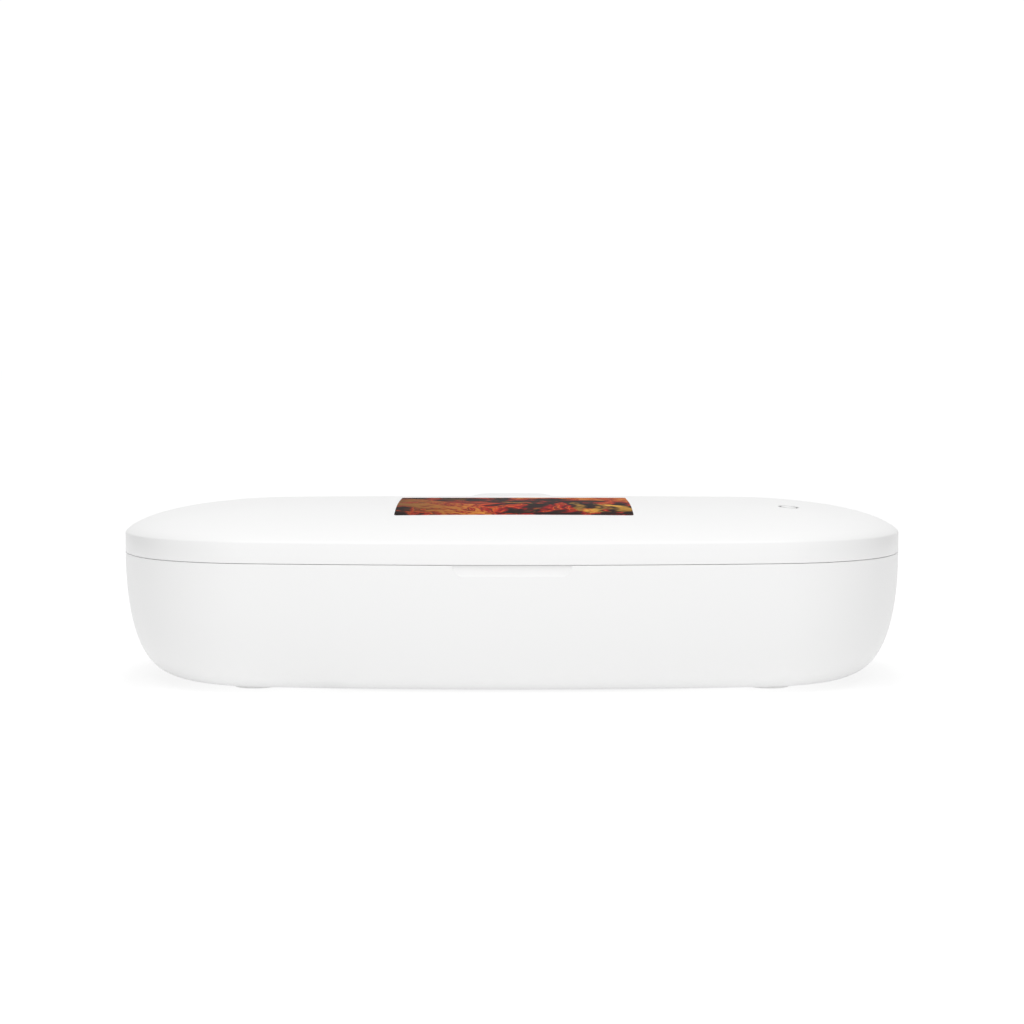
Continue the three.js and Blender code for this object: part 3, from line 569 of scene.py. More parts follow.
@dataclass(frozen=True)
class Levels:
    """Heights, places and widths that several pieces share."""

    underside: float = 0.8
    inner_floor: float = 3.0
    parting: float = 35.6
    base_rim: float = 35.535
    lid_rim: float = 35.665
    wall: float = 2.4
    ledge: float = 32.15
    tray_floor: float = 16.2
    tray_flange_top: float = 33.65
    panel_foot: float = 35.9
    panel_flange_top: float = 37.1
    panel_top: float = 39.3
    sheet: float = 1.2  # thickness of tray and panel
    sheet_edge: float = 2.7  # how far inside the outline both end
    root: float = 0.6  # how far a post reaches into the sheet that carries it
    lamp_pitch: float = 56.0
    window_hole: float = 6.3
    boss_radius: float = 4.0
    boss_sides: int = 24
    post_radius: float = 2.2
    post_sides: int = 20
    stake_radius: float = 1.0
    stake_sides: int = 16
    stake_x: float = 28.0
    pin_hole: float = 1.25
    pin_sides: int = 32
    pilot_hole: float = 1.25
    foot_x: float = 70.0
    foot_y: float = 28.0
    panel_screw_x: float = 62.0
    panel_screw_y: float = 32.0
    bracket_post: float = 27.0
    bracket_top: float = 44.77
    magnet_row: float = -55.0
    magnet_case: float = 8.5  # half its width
    magnet_well: float = 7.3  # the same for its well
    magnet_thick: float = 1.6  # half the well's depth
    hinge: Pair = (57.4, 43.0)  # in y and z
    button: Pair = (76.0, -22.0)  # in x and y
    switch_posts: Pair = (71.2, 86.8)  # in x
    socket_z: float = 12.73


PLAN = Outline()
CROWN = Crown()
AT = Levels()


def inset_of(place: Vector) -> float:
    """Returns how far inside the box's outline a place lies."""
    return PLAN.edge_distance(place.x, place.y)


def on_rim(height: float) -> Callable[[bmesh.types.BMEdge], bool]:
    """Returns a test for the edges that run round the outline at a height."""
    return lambda edge: both(
        edge, lambda end: abs(end.z - height) < LEVEL and inset_of(end) < SKIN)


def four_rods(name: str, radius: float, heights: Pair, places: Pair, sides: int) -> list[Blank]:
    """Returns upright round bars in the corners of a rectangle, given half its sides."""
    return [rod(name + corner, radius, *heights, x, y, sides) for corner, x, y in corners(*places)]


def staked_post(name: str, post: Pair, stake: Pair, x: float, y: float) -> Blank:
    """Makes a post with the thin stake that a board is put on.

    Args:
        name: the post's name.
        post: heights of its lower and upper ends.
        stake: the same for the stake.
        x: their place across the box.
        y: their place from front to rear.

    Returns:
        Both as one solid.
    """
    made = rod(name, AT.post_radius, *post, x, y, AT.post_sides)
    made.combine(rod("stake", AT.stake_radius, *stake, x, y, AT.stake_sides), Join.ADD)
    return made


def window_holes(foot: float, top: float) -> list[Blank]:
    """Returns the cutters for a sheet's three windows, between two heights."""
    return [rod(f"window_{i}", AT.window_hole, foot, top, i * AT.lamp_pitch) for i in (-1, 0, 1)]


def magnet_well(foot: float, top: float) -> Blank:
    """Returns the cutter for a magnet's place, between two heights."""
    front, rear = AT.magnet_row - AT.magnet_thick, AT.magnet_row + AT.magnet_thick
    return block("magnet_well", (-AT.magnet_well, front, foot), (AT.magnet_well, rear, top))


def pin_hole(half: float) -> Blank:
    """Makes the cutter for the hinge pin.

    Args:
        half: how far it reaches to each side.

    Returns:
        A round bar that lies across the box.
    """
    leave_edit()
    bpy.ops.mesh.primitive_cylinder_add(vertices=AT.pin_sides, radius=AT.pin_hole, depth=half * 2,
                                        location=(0, *AT.hinge), rotation=(0, math.pi / 2, 0))
    return Blank("pin_hole")


# Finishes


class Wiring:
    """Places and joins the nodes of one tree."""

    def __init__(self, tree: bpy.types.NodeTree) -> None:
        """Starts with an empty tree."""
        self.tree = tree
        tree.nodes.clear()

    def feed(self, socket: Socket, value: Any) -> None:
        """Gives a socket what it needs.

        Args:
            socket: the input.
            value: an output that feeds it, or a number, vector or colour that it holds.
        """
        if isinstance(value, Socket):
            self.tree.links.new(value, socket)
        elif socket.type == "RGBA" and len(value) == 3:
            socket.default_value = (*value, 1.0)
        else:
            socket.default_value = value

    def add(self, kind: str, inputs: dict[Any, Any] | None = None,
            **settings: Any) -> bpy.types.Node:
        """Adds a node.

        Args:
            kind: Blender's name of the node type, without the word ShaderNode.
            inputs: what each input holds, or the output that feeds it.
            settings: the node's own settings.

        Returns:
            The node.
        """
        node = self.tree.nodes.new(kind if kind.startswith("Node") else "ShaderNode" + kind)
        for name, value in settings.items():
            setattr(node, name, value)
        for name, value in (inputs or {}).items():
            self.feed(node.inputs[name], value)
        return node

    def math(self, operation: str, first: Any, second: Any = 0.5) -> Socket:
        """Returns the outcome of a sum on one or two values or outputs."""
        return self.add("Math", {0: first, 1: second}, operation=operation).outputs[0]

    def vector(self, operation: str, first: Any, second: Any = (0, 0, 0)) -> Socket:
        """Returns the outcome of a sum on one or two vectors or outputs."""
        return self.add("VectorMath", {0: first, 1: second}, operation=operation).outputs[0]

    def axes(self, vector: Socket) -> tuple[Socket, ...]:
        """Returns a vector's x, y and z."""
        return tuple(self.add("SeparateXYZ", {0: vector}).outputs)

    def own(self) -> Socket:
        """Returns the piece's own coordinates."""
        return self.add("TexCoord").outputs["Object"]

    def blend(self, share: Any, low: Any, high: Any) -> Socket:
        """Returns a colour between two colours."""
        node = self.add("Mix", {"Factor": share, 6: low, 7: high}, data_type="RGBA")
        return node.outputs[2]

    def between(self, value: Any, low: float, high: float, to_low: Any = 0.0,
                to_high: Any = 1.0) -> Socket:
        """Carries a value from one range to another.

        Args:
            value: the value.
            low: start of its range.
            high: end of its range.
            to_low: what the start becomes.
            to_high: what the end becomes.

        Returns:
            The new value, held at both ends.
        """
        node = self.add("MapRange", {"Value": value, "From Min": low, "From Max": high,
                                     "To Min": to_low, "To Max": to_high}, clamp=True)
        return node.outputs["Result"]

    def place(self, turn: float = 0.0, stretch: Place = (1, 1, 1),
              middle: Place = (0, 0, 0)) -> Socket:
        """Lays a pattern on the piece.

        Args:
            turn: how far it turns about the upright axis, in degrees.
            stretch: how much finer it is along each axis.
            middle: where its own middle lies.

        Returns:
            The coordinates that it reads.
        """
        shift = tuple(-m * s for m, s in zip(middle, stretch))
        return self.add("Mapping", {"Vector": self.own(), "Location": shift, "Scale": stretch,
                                    "Rotation": (0, 0, math.radians(turn))}).outputs[0]

    def ramp(self, value: Any, stops: Sequence[tuple[float, Colour]]) -> Socket:
        """Picks a colour from a row of stops.

        Args:
            value: the place in the row, from 0 to 1.
            stops: the place and colour of each stop.

        Returns:
            The colour, which flows softly from stop to stop.
        """
        node = self.add("ValToRGB", {"Fac": value})
        band = node.color_ramp
        band.interpolation = "EASE"
        while len(band.elements) < len(stops):
            band.elements.new(0.5)
        for element, (where, colour) in zip(band.elements, stops):
            element.position = where
            element.color = (*colour, 1.0)
        return node.outputs["Color"]


def grain_group() -> bpy.types.NodeTree:
    """Builds the shared group for the fine texture of a mould and the marks of handling.

    Returns:
        A group that gives the height of the grain and a soft mask of handling marks.
    """
    name = "MouldGrain"
    if name in bpy.data.node_groups:
        return bpy.data.node_groups[name]
    group = bpy.data.node_groups.new(name, "ShaderNodeTree")
    for way, labels in (("INPUT", ("Grain Size", "Mark Size")), ("OUTPUT", ("Height", "Marks"))):
        for label in labels:
            group.interface.new_socket(name=label, in_out=way, socket_type="NodeSocketFloat")
    wires = Wiring(group)
    sizes = wires.add("NodeGroupInput").outputs
    own = wires.own()
    grain = wires.add("TexNoise", {"Vector": own, "Scale": sizes[0], "Detail": 2.0,
                                   "Roughness": 0.5})
    marks = wires.add("TexNoise", {"Vector": own, "Scale": sizes[1], "Detail": 5.0,
                                   "Roughness": 0.65})
    soft = wires.between(marks.outputs["Fac"], *MARK_REACH)
    wires.add("NodeGroupOutput", {"Height": grain.outputs["Fac"], "Marks": soft})
    return group


class Coat(Wiring):
    """The nodes of one material: its shader, the shared grain and what the finish adds."""

    def __init__(self, made: bpy.types.Material, finish: "Finish") -> None:
        """Places the shader and the grain.

        Args:
            made: the material.
            finish: what they get their values from.
        """
        super().__init__(made.node_tree)
        self.shader = self.add("BsdfPrincipled", {
            "Roughness": finish.roughness, "Metallic": finish.metallic,
            "Specular IOR Level": finish.specular})
        self.add("OutputMaterial", {"Surface": self.shader.outputs[0]})
        grain = self.add("Group", {"Grain Size": finish.grain_size,
                                   "Mark Size": finish.mark_size}, node_tree=grain_group())
        self.grain, self.marks = grain.outputs["Height"], grain.outputs["Marks"]


def shade(colour: Colour, share: float) -> Colour:
    """Returns a colour made darker, or lighter with a share over 1."""
    return tuple(part * share for part in colour)


@dataclass(frozen=True)
class Finish:
    """What a piece is made of: a colour, how rough it is and how fine its grain."""

    name: str
    colour: Colour
    roughness: float = 0.4
    mark_roughness: float = 0.06  # added where hands and cloths have been
    metallic: float = 0.0
    grain_size: float = 1500.0
    mark_size: float = 30.0
    grain_depth: float = 0.02  # in millimetres
    tint: float = 0.03  # how far the colour falls off in the marks
    specular: float = 0.5

    def material(self) -> bpy.types.Material:
        """Builds the material, the first time that it is asked for.

        Returns:
            The material.
        """
        if self.name not in bpy.data.materials:
            made = bpy.data.materials.new(self.name)
            made.use_nodes = True
            self.dress(Coat(made, self))
        return bpy.data.materials[self.name]

    def dress(self, coat: Coat) -> None:
        """Wires the material. Finishes with more to show have their own way."""
        self.lay(coat)

    def lay(self, coat: Coat, colour: Any = None, roughness: Any = None, height: Any = None,
            depth: float | None = None) -> None:
        """Feeds the shader. What isn't given comes from the finish and its grain.

        Args:
            coat: the material's nodes.
            colour: a colour, or the output that gives it.
            roughness: how rough the surface is outside the marks, or the output that says so.
            height: the output that raises the surface.
            depth: how far it raises it, in millimetres.
        """
        colour = self.colour if colour is None else colour
        darker = coat.add("HueSaturation", {"Value": 1 - self.tint, "Color": colour})
        coat.feed(coat.shader.inputs["Base Color"],
                  coat.blend(coat.marks, colour, darker.outputs[0]))
        added = coat.math("MULTIPLY", coat.marks, self.mark_roughness)
        rough = self.roughness if roughness is None else roughness
        coat.feed(coat.shader.inputs["Roughness"], coat.math("ADD", added, rough))
        bump = coat.add("Bump", {"Height": coat.grain if height is None else height,
                                 "Distance": (self.grain_depth if depth is None else depth) * MM})
        coat.feed(coat.shader.inputs["Normal"], bump.outputs[0])


@dataclass(frozen=True)
class MirrorFinish(Finish):
    """Metal film on moulded plastic, with the slow waves of the plastic in it."""

    wave_size: float = 42.0
    wave_depth: float = 0.05

    def dress(self, coat: Coat) -> None:
        """Adds the waves to the grain.

        Args:
            coat: the material's nodes.
        """
        wave = coat.add("TexNoise", {"Vector": coat.place(), "Scale": self.wave_size,
                                     "Detail": 1.0})
        fine = coat.math("MULTIPLY", coat.grain, self.grain_depth / self.wave_depth)
        height = coat.math("ADD", wave.outputs["Fac"], fine)
        self.lay(coat, height=height, depth=self.wave_depth)


@dataclass(frozen=True)
class GlassFinish(Finish):
    """Clear moulded or ground glass."""

    refraction: float = 1.46

    def dress(self, coat: Coat) -> None:
        """Lets the light through.

        Args:
            coat: the material's nodes.
        """
        coat.feed(coat.shader.inputs["Transmission Weight"], 1.0)
        coat.feed(coat.shader.inputs["IOR"], self.refraction)
        self.lay(coat)


@dataclass(frozen=True)
class DrawnFinish(Finish):
    """Metal with the fine lines of drawing or brushing in it."""

    stretch: Place = (60.0, 4000.0, 4000.0)
    dark: float = 0.82  # of the colour in the lines
    line_reach: Pair = (0.3, 0.7)  # where in the noise a line starts and where it is full
    smoother: float = 0.06
    rougher: float = 0.08

    def dress(self, coat: Coat) -> None:
        """Draws the lines.

        Args:
            coat: the material's nodes.
        """
        lines = coat.add("TexNoise", {"Vector": coat.place(stretch=self.stretch), "Scale": 1.0,
                                      "Detail": 3.0}).outputs["Fac"]
        colour = coat.blend(lines, shade(self.colour, self.dark), self.colour)
        rough = coat.between(lines, *self.line_reach, self.roughness - self.smoother,
                             self.roughness + self.rougher)
        self.lay(coat, colour, rough, lines)


@dataclass(frozen=True)
class SpeckledFinish(Finish):
    """A pressed or filled material with specks in it."""

    speck: Colour = (0.2, 0.2, 0.2)
    speck_size: float = 900.0
    speck_reach: Pair = (0.12, 0.34)  # where a speck starts to fade and where it ends

    def dress(self, coat: Coat) -> None:
        """Strews the specks.

        Args:
            coat: the material's nodes.
        """
        cells = coat.add("TexVoronoi", {"Vector": coat.place(), "Scale": self.speck_size})
        share = coat.between(cells.outputs["Distance"], *self.speck_reach, 1.0, 0.0)
        self.lay(coat, coat.blend(share, self.colour, self.speck))


@dataclass(frozen=True)
class BoardFinish(Finish):
    """A circuit board: tracks under lacquer, tinned pads, and dark parts above its face."""

    face: float = 10.8  # height of the face that carries the parts
    look: int = 1  # 1 when the parts stand on top of it and -1 when they hang under it
    lamps: bool = False  # pale lamp bodies stand at the lamp places
    track_light: float = 1.9  # how much lighter the lacquer is over a track
    pad: Colour = (0.62, 0.6, 0.52)
    pad_reach: Pair = (0.12, 0.15)
    part_heights: Pair = (0.1, 0.15)  # where a part begins above the face
    part_colour: Colour = (0.03, 0.03, 0.032)
    tall_heights: Pair = (1.3, 1.35)
    tall_colour: Colour = (0.3, 0.29, 0.27)
    lamp_heights: Pair = (0.95, 1.05)
    lamp_body: Colour = (0.78, 0.77, 0.72)
    lamp_face: Colour = (0.9, 0.78, 0.32)

    def dress(self, coat: Coat) -> None:
        """Lays tracks, pads and parts.

        Args:
            coat: the material's nodes.
        """
        tracks = coat.add("TexBrick", {
            "Vector": coat.place(turn=45), "Scale": 260.0, "Mortar Size": 0.012, "Bias": 0.0,
            "Brick Width": 1.7, "Row Height": 0.42, "Color1": (0, 0, 0), "Color2": (0, 0, 0),
            "Mortar": (1, 1, 1)}).outputs["Color"]
        pads = coat.add("TexVoronoi", {"Vector": coat.place(), "Scale": 190.0, "Randomness": 0.7})
        pad = coat.between(pads.outputs["Distance"], *self.pad_reach, 1.0, 0.0)
        green = coat.blend(tracks, self.colour, shade(self.colour, self.track_light))
        lacquer = coat.blend(pad, green, self.pad)
        height = coat.math("SUBTRACT", coat.axes(coat.own())[Z], self.face * MM)
        above = coat.math("MULTIPLY", height, float(self.look))

        def risen(heights: Pair) -> Socket:
            """Returns how far a place has passed two heights over the face."""
            return coat.between(above, heights[0] * MM, heights[1] * MM)

        parts = coat.blend(risen(self.tall_heights), self.part_colour, self.tall_colour)
        if self.lamps:
            parts = coat.blend(risen(self.lamp_heights), self.lamp_body, self.lamp_face)
        self.lay(coat, coat.blend(risen(self.part_heights), lacquer, parts),
                 height=coat.math("ADD", tracks, coat.grain))


@dataclass(frozen=True)
class WoundFinish(Finish):
    """Enamelled wire wound round and round in the flat."""

    wire: float = 1.24  # width of one turn, in millimetres
    groove_shade: float = 0.35  # painted shade: share of the colour left between two turns
    wave_rate: float = 20.0  # a wave texture's own factor on its scale

    def dress(self, coat: Coat) -> None:
        """Winds the wire, with painted shade between the turns.

        Args:
            coat: the material's nodes.
        """
        scale = 2 * math.pi / (self.wave_rate * self.wire * MM)
        rings = coat.add("TexWave", {"Vector": coat.place(middle=(0, SHIFT_Y * MM, 0)),
                                     "Scale": scale, "Distortion": 0.0}, wave_type="RINGS",
                         rings_direction="Z", wave_profile="SIN").outputs["Fac"]
        # painted shade darkens the wire between two turns
        self.lay(coat, coat.blend(rings, shade(self.colour, self.groove_shade), self.colour),
                 height=rings)


@dataclass(frozen=True)
class SocketFinish(Finish):
    """The charging socket: a plated shell round a dark tongue with bright contacts."""

    tongue_z: Pair = (0.42, 0.45)  # where the tongue ends above and below its middle
    tongue_x: Pair = (3.4, 3.45)  # where it ends to the sides
    tongue_colour: Colour = (0.02, 0.02, 0.02)
    pitch: float = 0.25  # half the distance between two contacts
    stripe: Pair = (0.14, 0.16)
    contact_colour: Colour = (0.83, 0.62, 0.28)

    def dress(self, coat: Coat) -> None:
        """Colours the tongue and its contacts.

        Args:
            coat: the material's nodes.
        """
        x, _, z = coat.axes(coat.own())
        above = coat.math("SUBTRACT", z, AT.socket_z * MM)

        def within(value: Socket, reach: Pair) -> Socket:
            """Returns 1 as far as a reach to both sides of zero, and 0 past it."""
            low, high = (end * MM for end in reach)
            return coat.between(coat.math("ABSOLUTE", value), low, high, 1.0, 0.0)

        tongue = coat.math("MULTIPLY", within(above, self.tongue_z), within(x, self.tongue_x))
        low, high = (end * MM for end in self.stripe)
        stripes = coat.between(coat.math("PINGPONG", x, self.pitch * MM), low, high)
        contact = coat.math("MULTIPLY", tongue, stripes)
        plain = coat.blend(tongue, self.colour, self.tongue_colour)
        self.lay(coat, coat.blend(contact, plain, self.contact_colour))
        dark = coat.math("SUBTRACT", tongue, contact)
        coat.feed(coat.shader.inputs["Metallic"], coat.math("SUBTRACT", 1.0, dark))


@dataclass(frozen=True)
class PrintFinish(Finish):
    """A printed panel of flowing bands, like inks floated on water."""

    inks: tuple[tuple[float, Colour], ...] = (
        (0.0, (0.012, 0.004, 0.003)), (0.22, (0.05, 0.008, 0.005)), (0.4, (0.3, 0.006, 0.005)),
        (0.52, (0.5, 0.03, 0.01)), (0.62, (0.62, 0.11, 0.012)), (0.7, (0.11, 0.02, 0.008)),
        (0.86, (0.36, 0.008, 0.006)), (1.0, (0.6, 0.2, 0.03)))
    drift: Place = (0.035, 0.05, 0.0)  # how far the bands are pushed about
    olive: Colour = (0.085, 0.06, 0.012)
    olive_side: Pair = (6.0, -24.0)  # it grows from the first place across to the second
    gold: Colour = (0.82, 0.42, 0.06)
    gold_side: Pair = (-6.0, 40.0)
    fleck_reach: Pair = (0.56, 0.66)  # where in the noise a fleck starts and where it is full

    def dress(self, coat: Coat) -> None:
        """Floats the inks.

        Args:
            coat: the material's nodes.
        """
        own = coat.place(middle=(0, SHIFT_Y * MM, 0))
        drift = coat.add("TexNoise", {"Vector": own, "Scale": 17.0, "Detail": 2.0,
                                      "Distortion": 0.6}).outputs["Color"]
        moved = coat.vector("ADD", own, coat.vector("MULTIPLY", drift, self.drift))
        bands = coat.add("TexWave", {"Vector": moved, "Scale": 7.5, "Distortion": 5.0,
                                     "Detail": 3.0, "Detail Scale": 18.0,
                                     "Detail Roughness": 0.55}, wave_type="BANDS",
                         bands_direction="DIAGONAL", wave_profile="SIN").outputs["Fac"]
        x = coat.axes(moved)[X]
        low, high = (end * MM for end in self.olive_side)
        share = coat.math("MULTIPLY", coat.between(x, low, high), bands)
        inks = coat.blend(share, coat.ramp(bands, self.inks), self.olive)
        flecks = coat.add("TexNoise", {"Vector": moved, "Scale": 60.0, "Detail": 4.0,
                                       "Roughness": 0.6}).outputs["Fac"]
        low, high = (end * MM for end in self.gold_side)
        fleck = coat.between(flecks, *self.fleck_reach)
        share = coat.math("MULTIPLY", fleck, coat.between(x, low, high))
        self.lay(coat, coat.blend(share, inks, self.gold))


def lacquer(name: str, **settings: Any) -> BoardFinish:
    """Returns the finish of a board, with the colour and grain that all boards share."""
    return BoardFinish(name + "_lacquer", (0.012, 0.11, 0.05), roughness=0.32, grain_depth=0.03,
                       **settings)


SHELL = Finish("white_gloss_plastic", (0.92, 0.92, 0.918), roughness=0.3, grain_size=1100.0,
               grain_depth=0.004, mark_size=14.0, mark_roughness=0.03, tint=0.004)
BUTTON_PLASTIC = Finish("white_button_plastic", (0.9, 0.9, 0.898), roughness=0.32,
                        grain_size=1600.0, grain_depth=0.004, tint=0.01)
MIRROR = MirrorFinish("mirror_film", (0.88, 0.885, 0.89), roughness=0.07, metallic=1.0,
                      grain_size=2600.0, grain_depth=0.002, mark_roughness=0.1)
SEAL_RUBBER = Finish("seal_rubber", (0.62, 0.62, 0.62), roughness=0.62, grain_size=2400.0)
# a dark ring laid in the button's gap: painted shade for the depth of the gap
PAINTED_GAP_SHADE = Finish("painted_gap_shade", (0.09, 0.09, 0.092), roughness=0.6, grain_size=2400.0,
                     grain_depth=0.01)
FOOT_RUBBER = SpeckledFinish("foot_rubber", (0.93, 0.93, 0.92), roughness=0.7, grain_size=1800.0,
                             grain_depth=0.03, speck=(0.88, 0.88, 0.87), speck_size=700.0)
GLASS = GlassFinish("quartz_glass", (0.96, 0.98, 1.0), roughness=0.03, grain_size=500.0,
                    grain_depth=0.003, mark_roughness=0.08)
CLEAR_PLASTIC = GlassFinish("clear_plastic", (0.95, 0.965, 0.975), roughness=0.09,
                            grain_size=900.0, grain_depth=0.006)
STEEL = DrawnFinish("drawn_steel", (0.56, 0.57, 0.58), roughness=0.3, metallic=1.0,
                    grain_depth=0.004)
NICKEL = DrawnFinish("nickel_plate", (0.6, 0.59, 0.57), roughness=0.24, metallic=1.0,
                     grain_depth=0.002, stretch=(500.0, 500.0, 900.0))
SOCKET_PLATE = SocketFinish("socket_plate", (0.62, 0.62, 0.61), roughness=0.26, metallic=1.0,
                            grain_depth=0.003)
COPPER = WoundFinish("copper_winding", (0.72, 0.34, 0.16), roughness=0.34, metallic=1.0,
                     grain_depth=0.12)
FERRITE = SpeckledFinish("ferrite", (0.028, 0.028, 0.03), roughness=0.62,
                         speck=(0.07, 0.07, 0.075))
INNER_PLASTIC = Finish("inner_plastic", (0.74, 0.74, 0.72), roughness=0.55)
BLACK_PLASTIC = Finish("black_plastic", (0.02, 0.02, 0.022), roughness=0.45, grain_depth=0.01)
MAIN_BOARD = lacquer("main_board")
BASE_LAMP_BOARD = lacquer("base_lamp_board", face=12.5, lamps=True)
LID_LAMP_BOARD = lacquer("lid_lamp_board", face=41.8, look=-1, lamps=True)
SMALL_BOARD = lacquer("small_board", face=90.0)  # no part stands that high, so none is dark
PRINT_INK = PrintFinish("printed_bands", (0.4, 0.05, 0.03), roughness=0.55, grain_size=900.0,
                        grain_depth=0.004, specular=0.03)


# Lid


@dataclass
class LidShell:
    """The domed lid: a hollow moulding with an upright band, a hinge hump and its holders."""

    band_foot: float = 0.3  # height of the first ring above the rim
    band_foot_round: float = 0.12
    crease_round: float = 0.22
    roof: float = 2.0  # its thickness
    roof_drop: float = 0.7  # how far below the crease the inside of the roof starts
    dome_steps: tuple[float, ...] = (0.15, 0.35, 0.6, 1, 1.5, 2.2, 3, 4, 5.5, 7.5, 10, 13, 16.5,
                                     20, 24, 28, 33, 38)
    roof_steps: tuple[float, ...] = (3.5, 6, 9.5, 14, 19, 25, 31, 38)
    middle_shares: tuple[float, ...] = (0.8, 0.6, 0.35)
    hump_radius: float = 5.2
    hump_half: float = 7.3
    hump_end: float = 9.2  # how far each end reaches past the middle part
    hump_steps: int = 14
    hump_nose: float = 17.0  # how far it runs forward from the pin
    hump_under: float = -150.0  # turn at which its round starts, below the pin
    round_steps: int = 28
    slot_radius: float = 3.9
    slot_half: float = 7.8
    slot_edge: float = 64.0  # turn at which the slot ends, above the pin
    slot_steps: int = 16
    pin_half: float = 10.3
    button_hole: float = 2.85
    stake: Pair = (-1.4, 0.4)  # its ends, from the bracket's top
    case_heights: Pair = (37.4, 41.3)
    case_rear: float = 2.8
    well_top: float = 40.7
    well_lead: float = 0.2  # how far below the rim the well's cutter starts
    pilot_foot: float = 37.6
    pilot_depth: float = 5.7

    def crown_path(self, steps: Sequence[float], thickness: float) -> list[Pair]:
        """Returns pairs of inset and height up the dome, lowered by a thickness."""
        return [(CROWN.crease_inset + step, CROWN.band_top + CROWN.lift(step) - thickness)
                for step in steps]

    def close_dome(self, form: Blank) -> None:
        """Closes the middle of the dome with rings that shrink towards its highest place.

        Args:
            form: the lid, with the face inside the last ring selected.
        """
        middle, last = PLAN.half_depth - CROWN.crease_inset, self.dome_steps[-1]
        lift, size = CROWN.lift(last), 1.0
        for share in self.middle_shares:
            next_lift = CROWN.lift(middle - (middle - last) * share)
            form.draw_in(share / size, next_lift - lift)
            lift, size = next_lift, share
        bpy.ops.mesh.poke()
        leave_edit()

    def outer(self, name: str) -> Blank:
        """Makes the lid's outer form.

        Args:
            name: its name.

        Returns:
            A closed solid, flat below.
        """
        form = PLAN.plate(name, 0, AT.lid_rim)
        inset, height = CROWN.crease_inset, CROWN.band_top
        form.walk([(0, AT.lid_rim), (0, AT.lid_rim + self.band_foot),
                   (inset - self.crease_round / 2, height - self.crease_round), (inset, height),
                   *self.crown_path(self.dome_steps, 0)], 1)
        self.close_dome(form)
        return form

    def hollow(self, form: Blank) -> None:
        """Sinks the inside of the lid into its flat underside.

        Args:
            form: the lid's outer form.
        """
        form.pick_cap(Z, -1)
        form.walk([(0, AT.lid_rim), (AT.wall, AT.lid_rim),
                   (AT.wall, CROWN.band_top - self.roof_drop),
                   *self.crown_path(self.roof_steps, self.roof)], -1)
        self.close_dome(form)

    def in_roof(self, x: float, y: float) -> float:
        """Returns the height of the middle of the roof's thickness over a place."""
        return CROWN.height(x, y) - self.roof / 2

    def hump(self) -> Blank:
        """Makes the hinge hump.

        Returns:
            A solid that is round behind the pin, runs forward into the dome and tapers to
            both ends.
        """
        nose_y = AT.hinge[0] - self.hump_nose
        around = arc(AT.hinge, self.hump_radius, self.hump_under, WHOLE_TURN / 4,
                     self.round_steps)
        hump = slab("hump", [*around, (nose_y, self.in_roof(0, nose_y))], self.hump_half)
        for side in (-1, 1):
            hump.pick_cap(X, side)
            along, size = 0.0, 1.0
            for turn in quarter(self.hump_steps)[1:-1]:
                next_size = math.cos(turn)
                hump.pull(x=side * self.hump_end * (math.sin(turn) - along))
                hump.stretch((1, next_size / size, next_size / size), (0, *AT.hinge))
                along, size = math.sin(turn), next_size
            leave_edit()
        return hump.tidy()

    def slot(self) -> Blank:
        """Makes the cutter for the slot in which the base's ear stands and swings.

        Returns:
            The cutter, open to the rear and below.
        """
        hinge_y, hinge_z = AT.hinge
        reach = self.hump_radius + OVERRUN
        edge = math.radians(self.slot_edge)
        high, foot = hinge_z + reach * math.sin(edge), AT.parting - OVERRUN
        outline = [(hinge_y - self.slot_radius, foot), (hinge_y + reach, foot),
                   (hinge_y + reach, high), (hinge_y + reach * math.cos(edge), high)]
        outline += arc(AT.hinge, self.slot_radius, self.slot_edge, WHOLE_TURN / 2,
                       self.slot_steps)
        return slab("slot", outline, self.slot_half)

    def button_cutter(self) -> Blank:
        """Returns the cutter for the button's hole."""
        top = CROWN.band_top + CROWN.rise + OVERRUN
        return rod("hole", self.button_hole, CROWN.band_top, top, *AT.button)

    def holders(self) -> Blank:
        """Makes what stands under the roof.

        Returns:
            The screws' bosses, the bracket's posts and the magnet's case.
        """
        made = [rod("boss_" + name, AT.boss_radius, AT.panel_top + GAP, self.in_roof(x, y), x, y,
                    AT.boss_sides) for name, x, y in corners(AT.panel_screw_x, AT.panel_screw_y)]
        foot = AT.bracket_top
        stake = (foot + self.stake[0], foot + self.stake[1])
        made += [staked_post("post_" + name, (foot + GAP, self.in_roof(x, y)), stake, x, y)
                 for name, x, y in corners(AT.bracket_post, AT.bracket_post)]
        low, high = self.case_heights
        made.append(block("case", (-AT.magnet_case, AT.magnet_row - AT.magnet_thick, low),
                          (AT.magnet_case, AT.magnet_row + self.case_rear, high)))
        return gather(made)

    def wells(self) -> Blank:
        """Makes the cutters for what the holders hold.

        Returns:
            The screws' holes and the magnet's well.
        """
        heights = (self.pilot_foot, AT.panel_top + GAP + self.pilot_depth)
        holes = four_rods("pilot_", AT.pilot_hole, heights, (AT.panel_screw_x, AT.panel_screw_y),
                          AT.stake_sides)
        return gather([*holes, magnet_well(AT.lid_rim - self.well_lead, self.well_top)])

    def build(self) -> None:
        """Builds the lid and hands it over."""
        lid = self.outer("lid_shell_gloss")
        self.hollow(lid)
        lid.soften(self.band_foot_round, 3, on_rim(AT.lid_rim))
        lid.combine(self.hump(), Join.ADD)
        lid.combine(self.holders(), Join.ADD)
        lid.combine(self.wells(), Join.CUT)
        lid.combine(self.slot(), Join.CUT)
        lid.combine(pin_hole(self.pin_half), Join.CUT)
        lid.combine(self.button_cutter(), Join.CUT)
        lid.settle("lid", "shell", SHELL, "lid_shell")


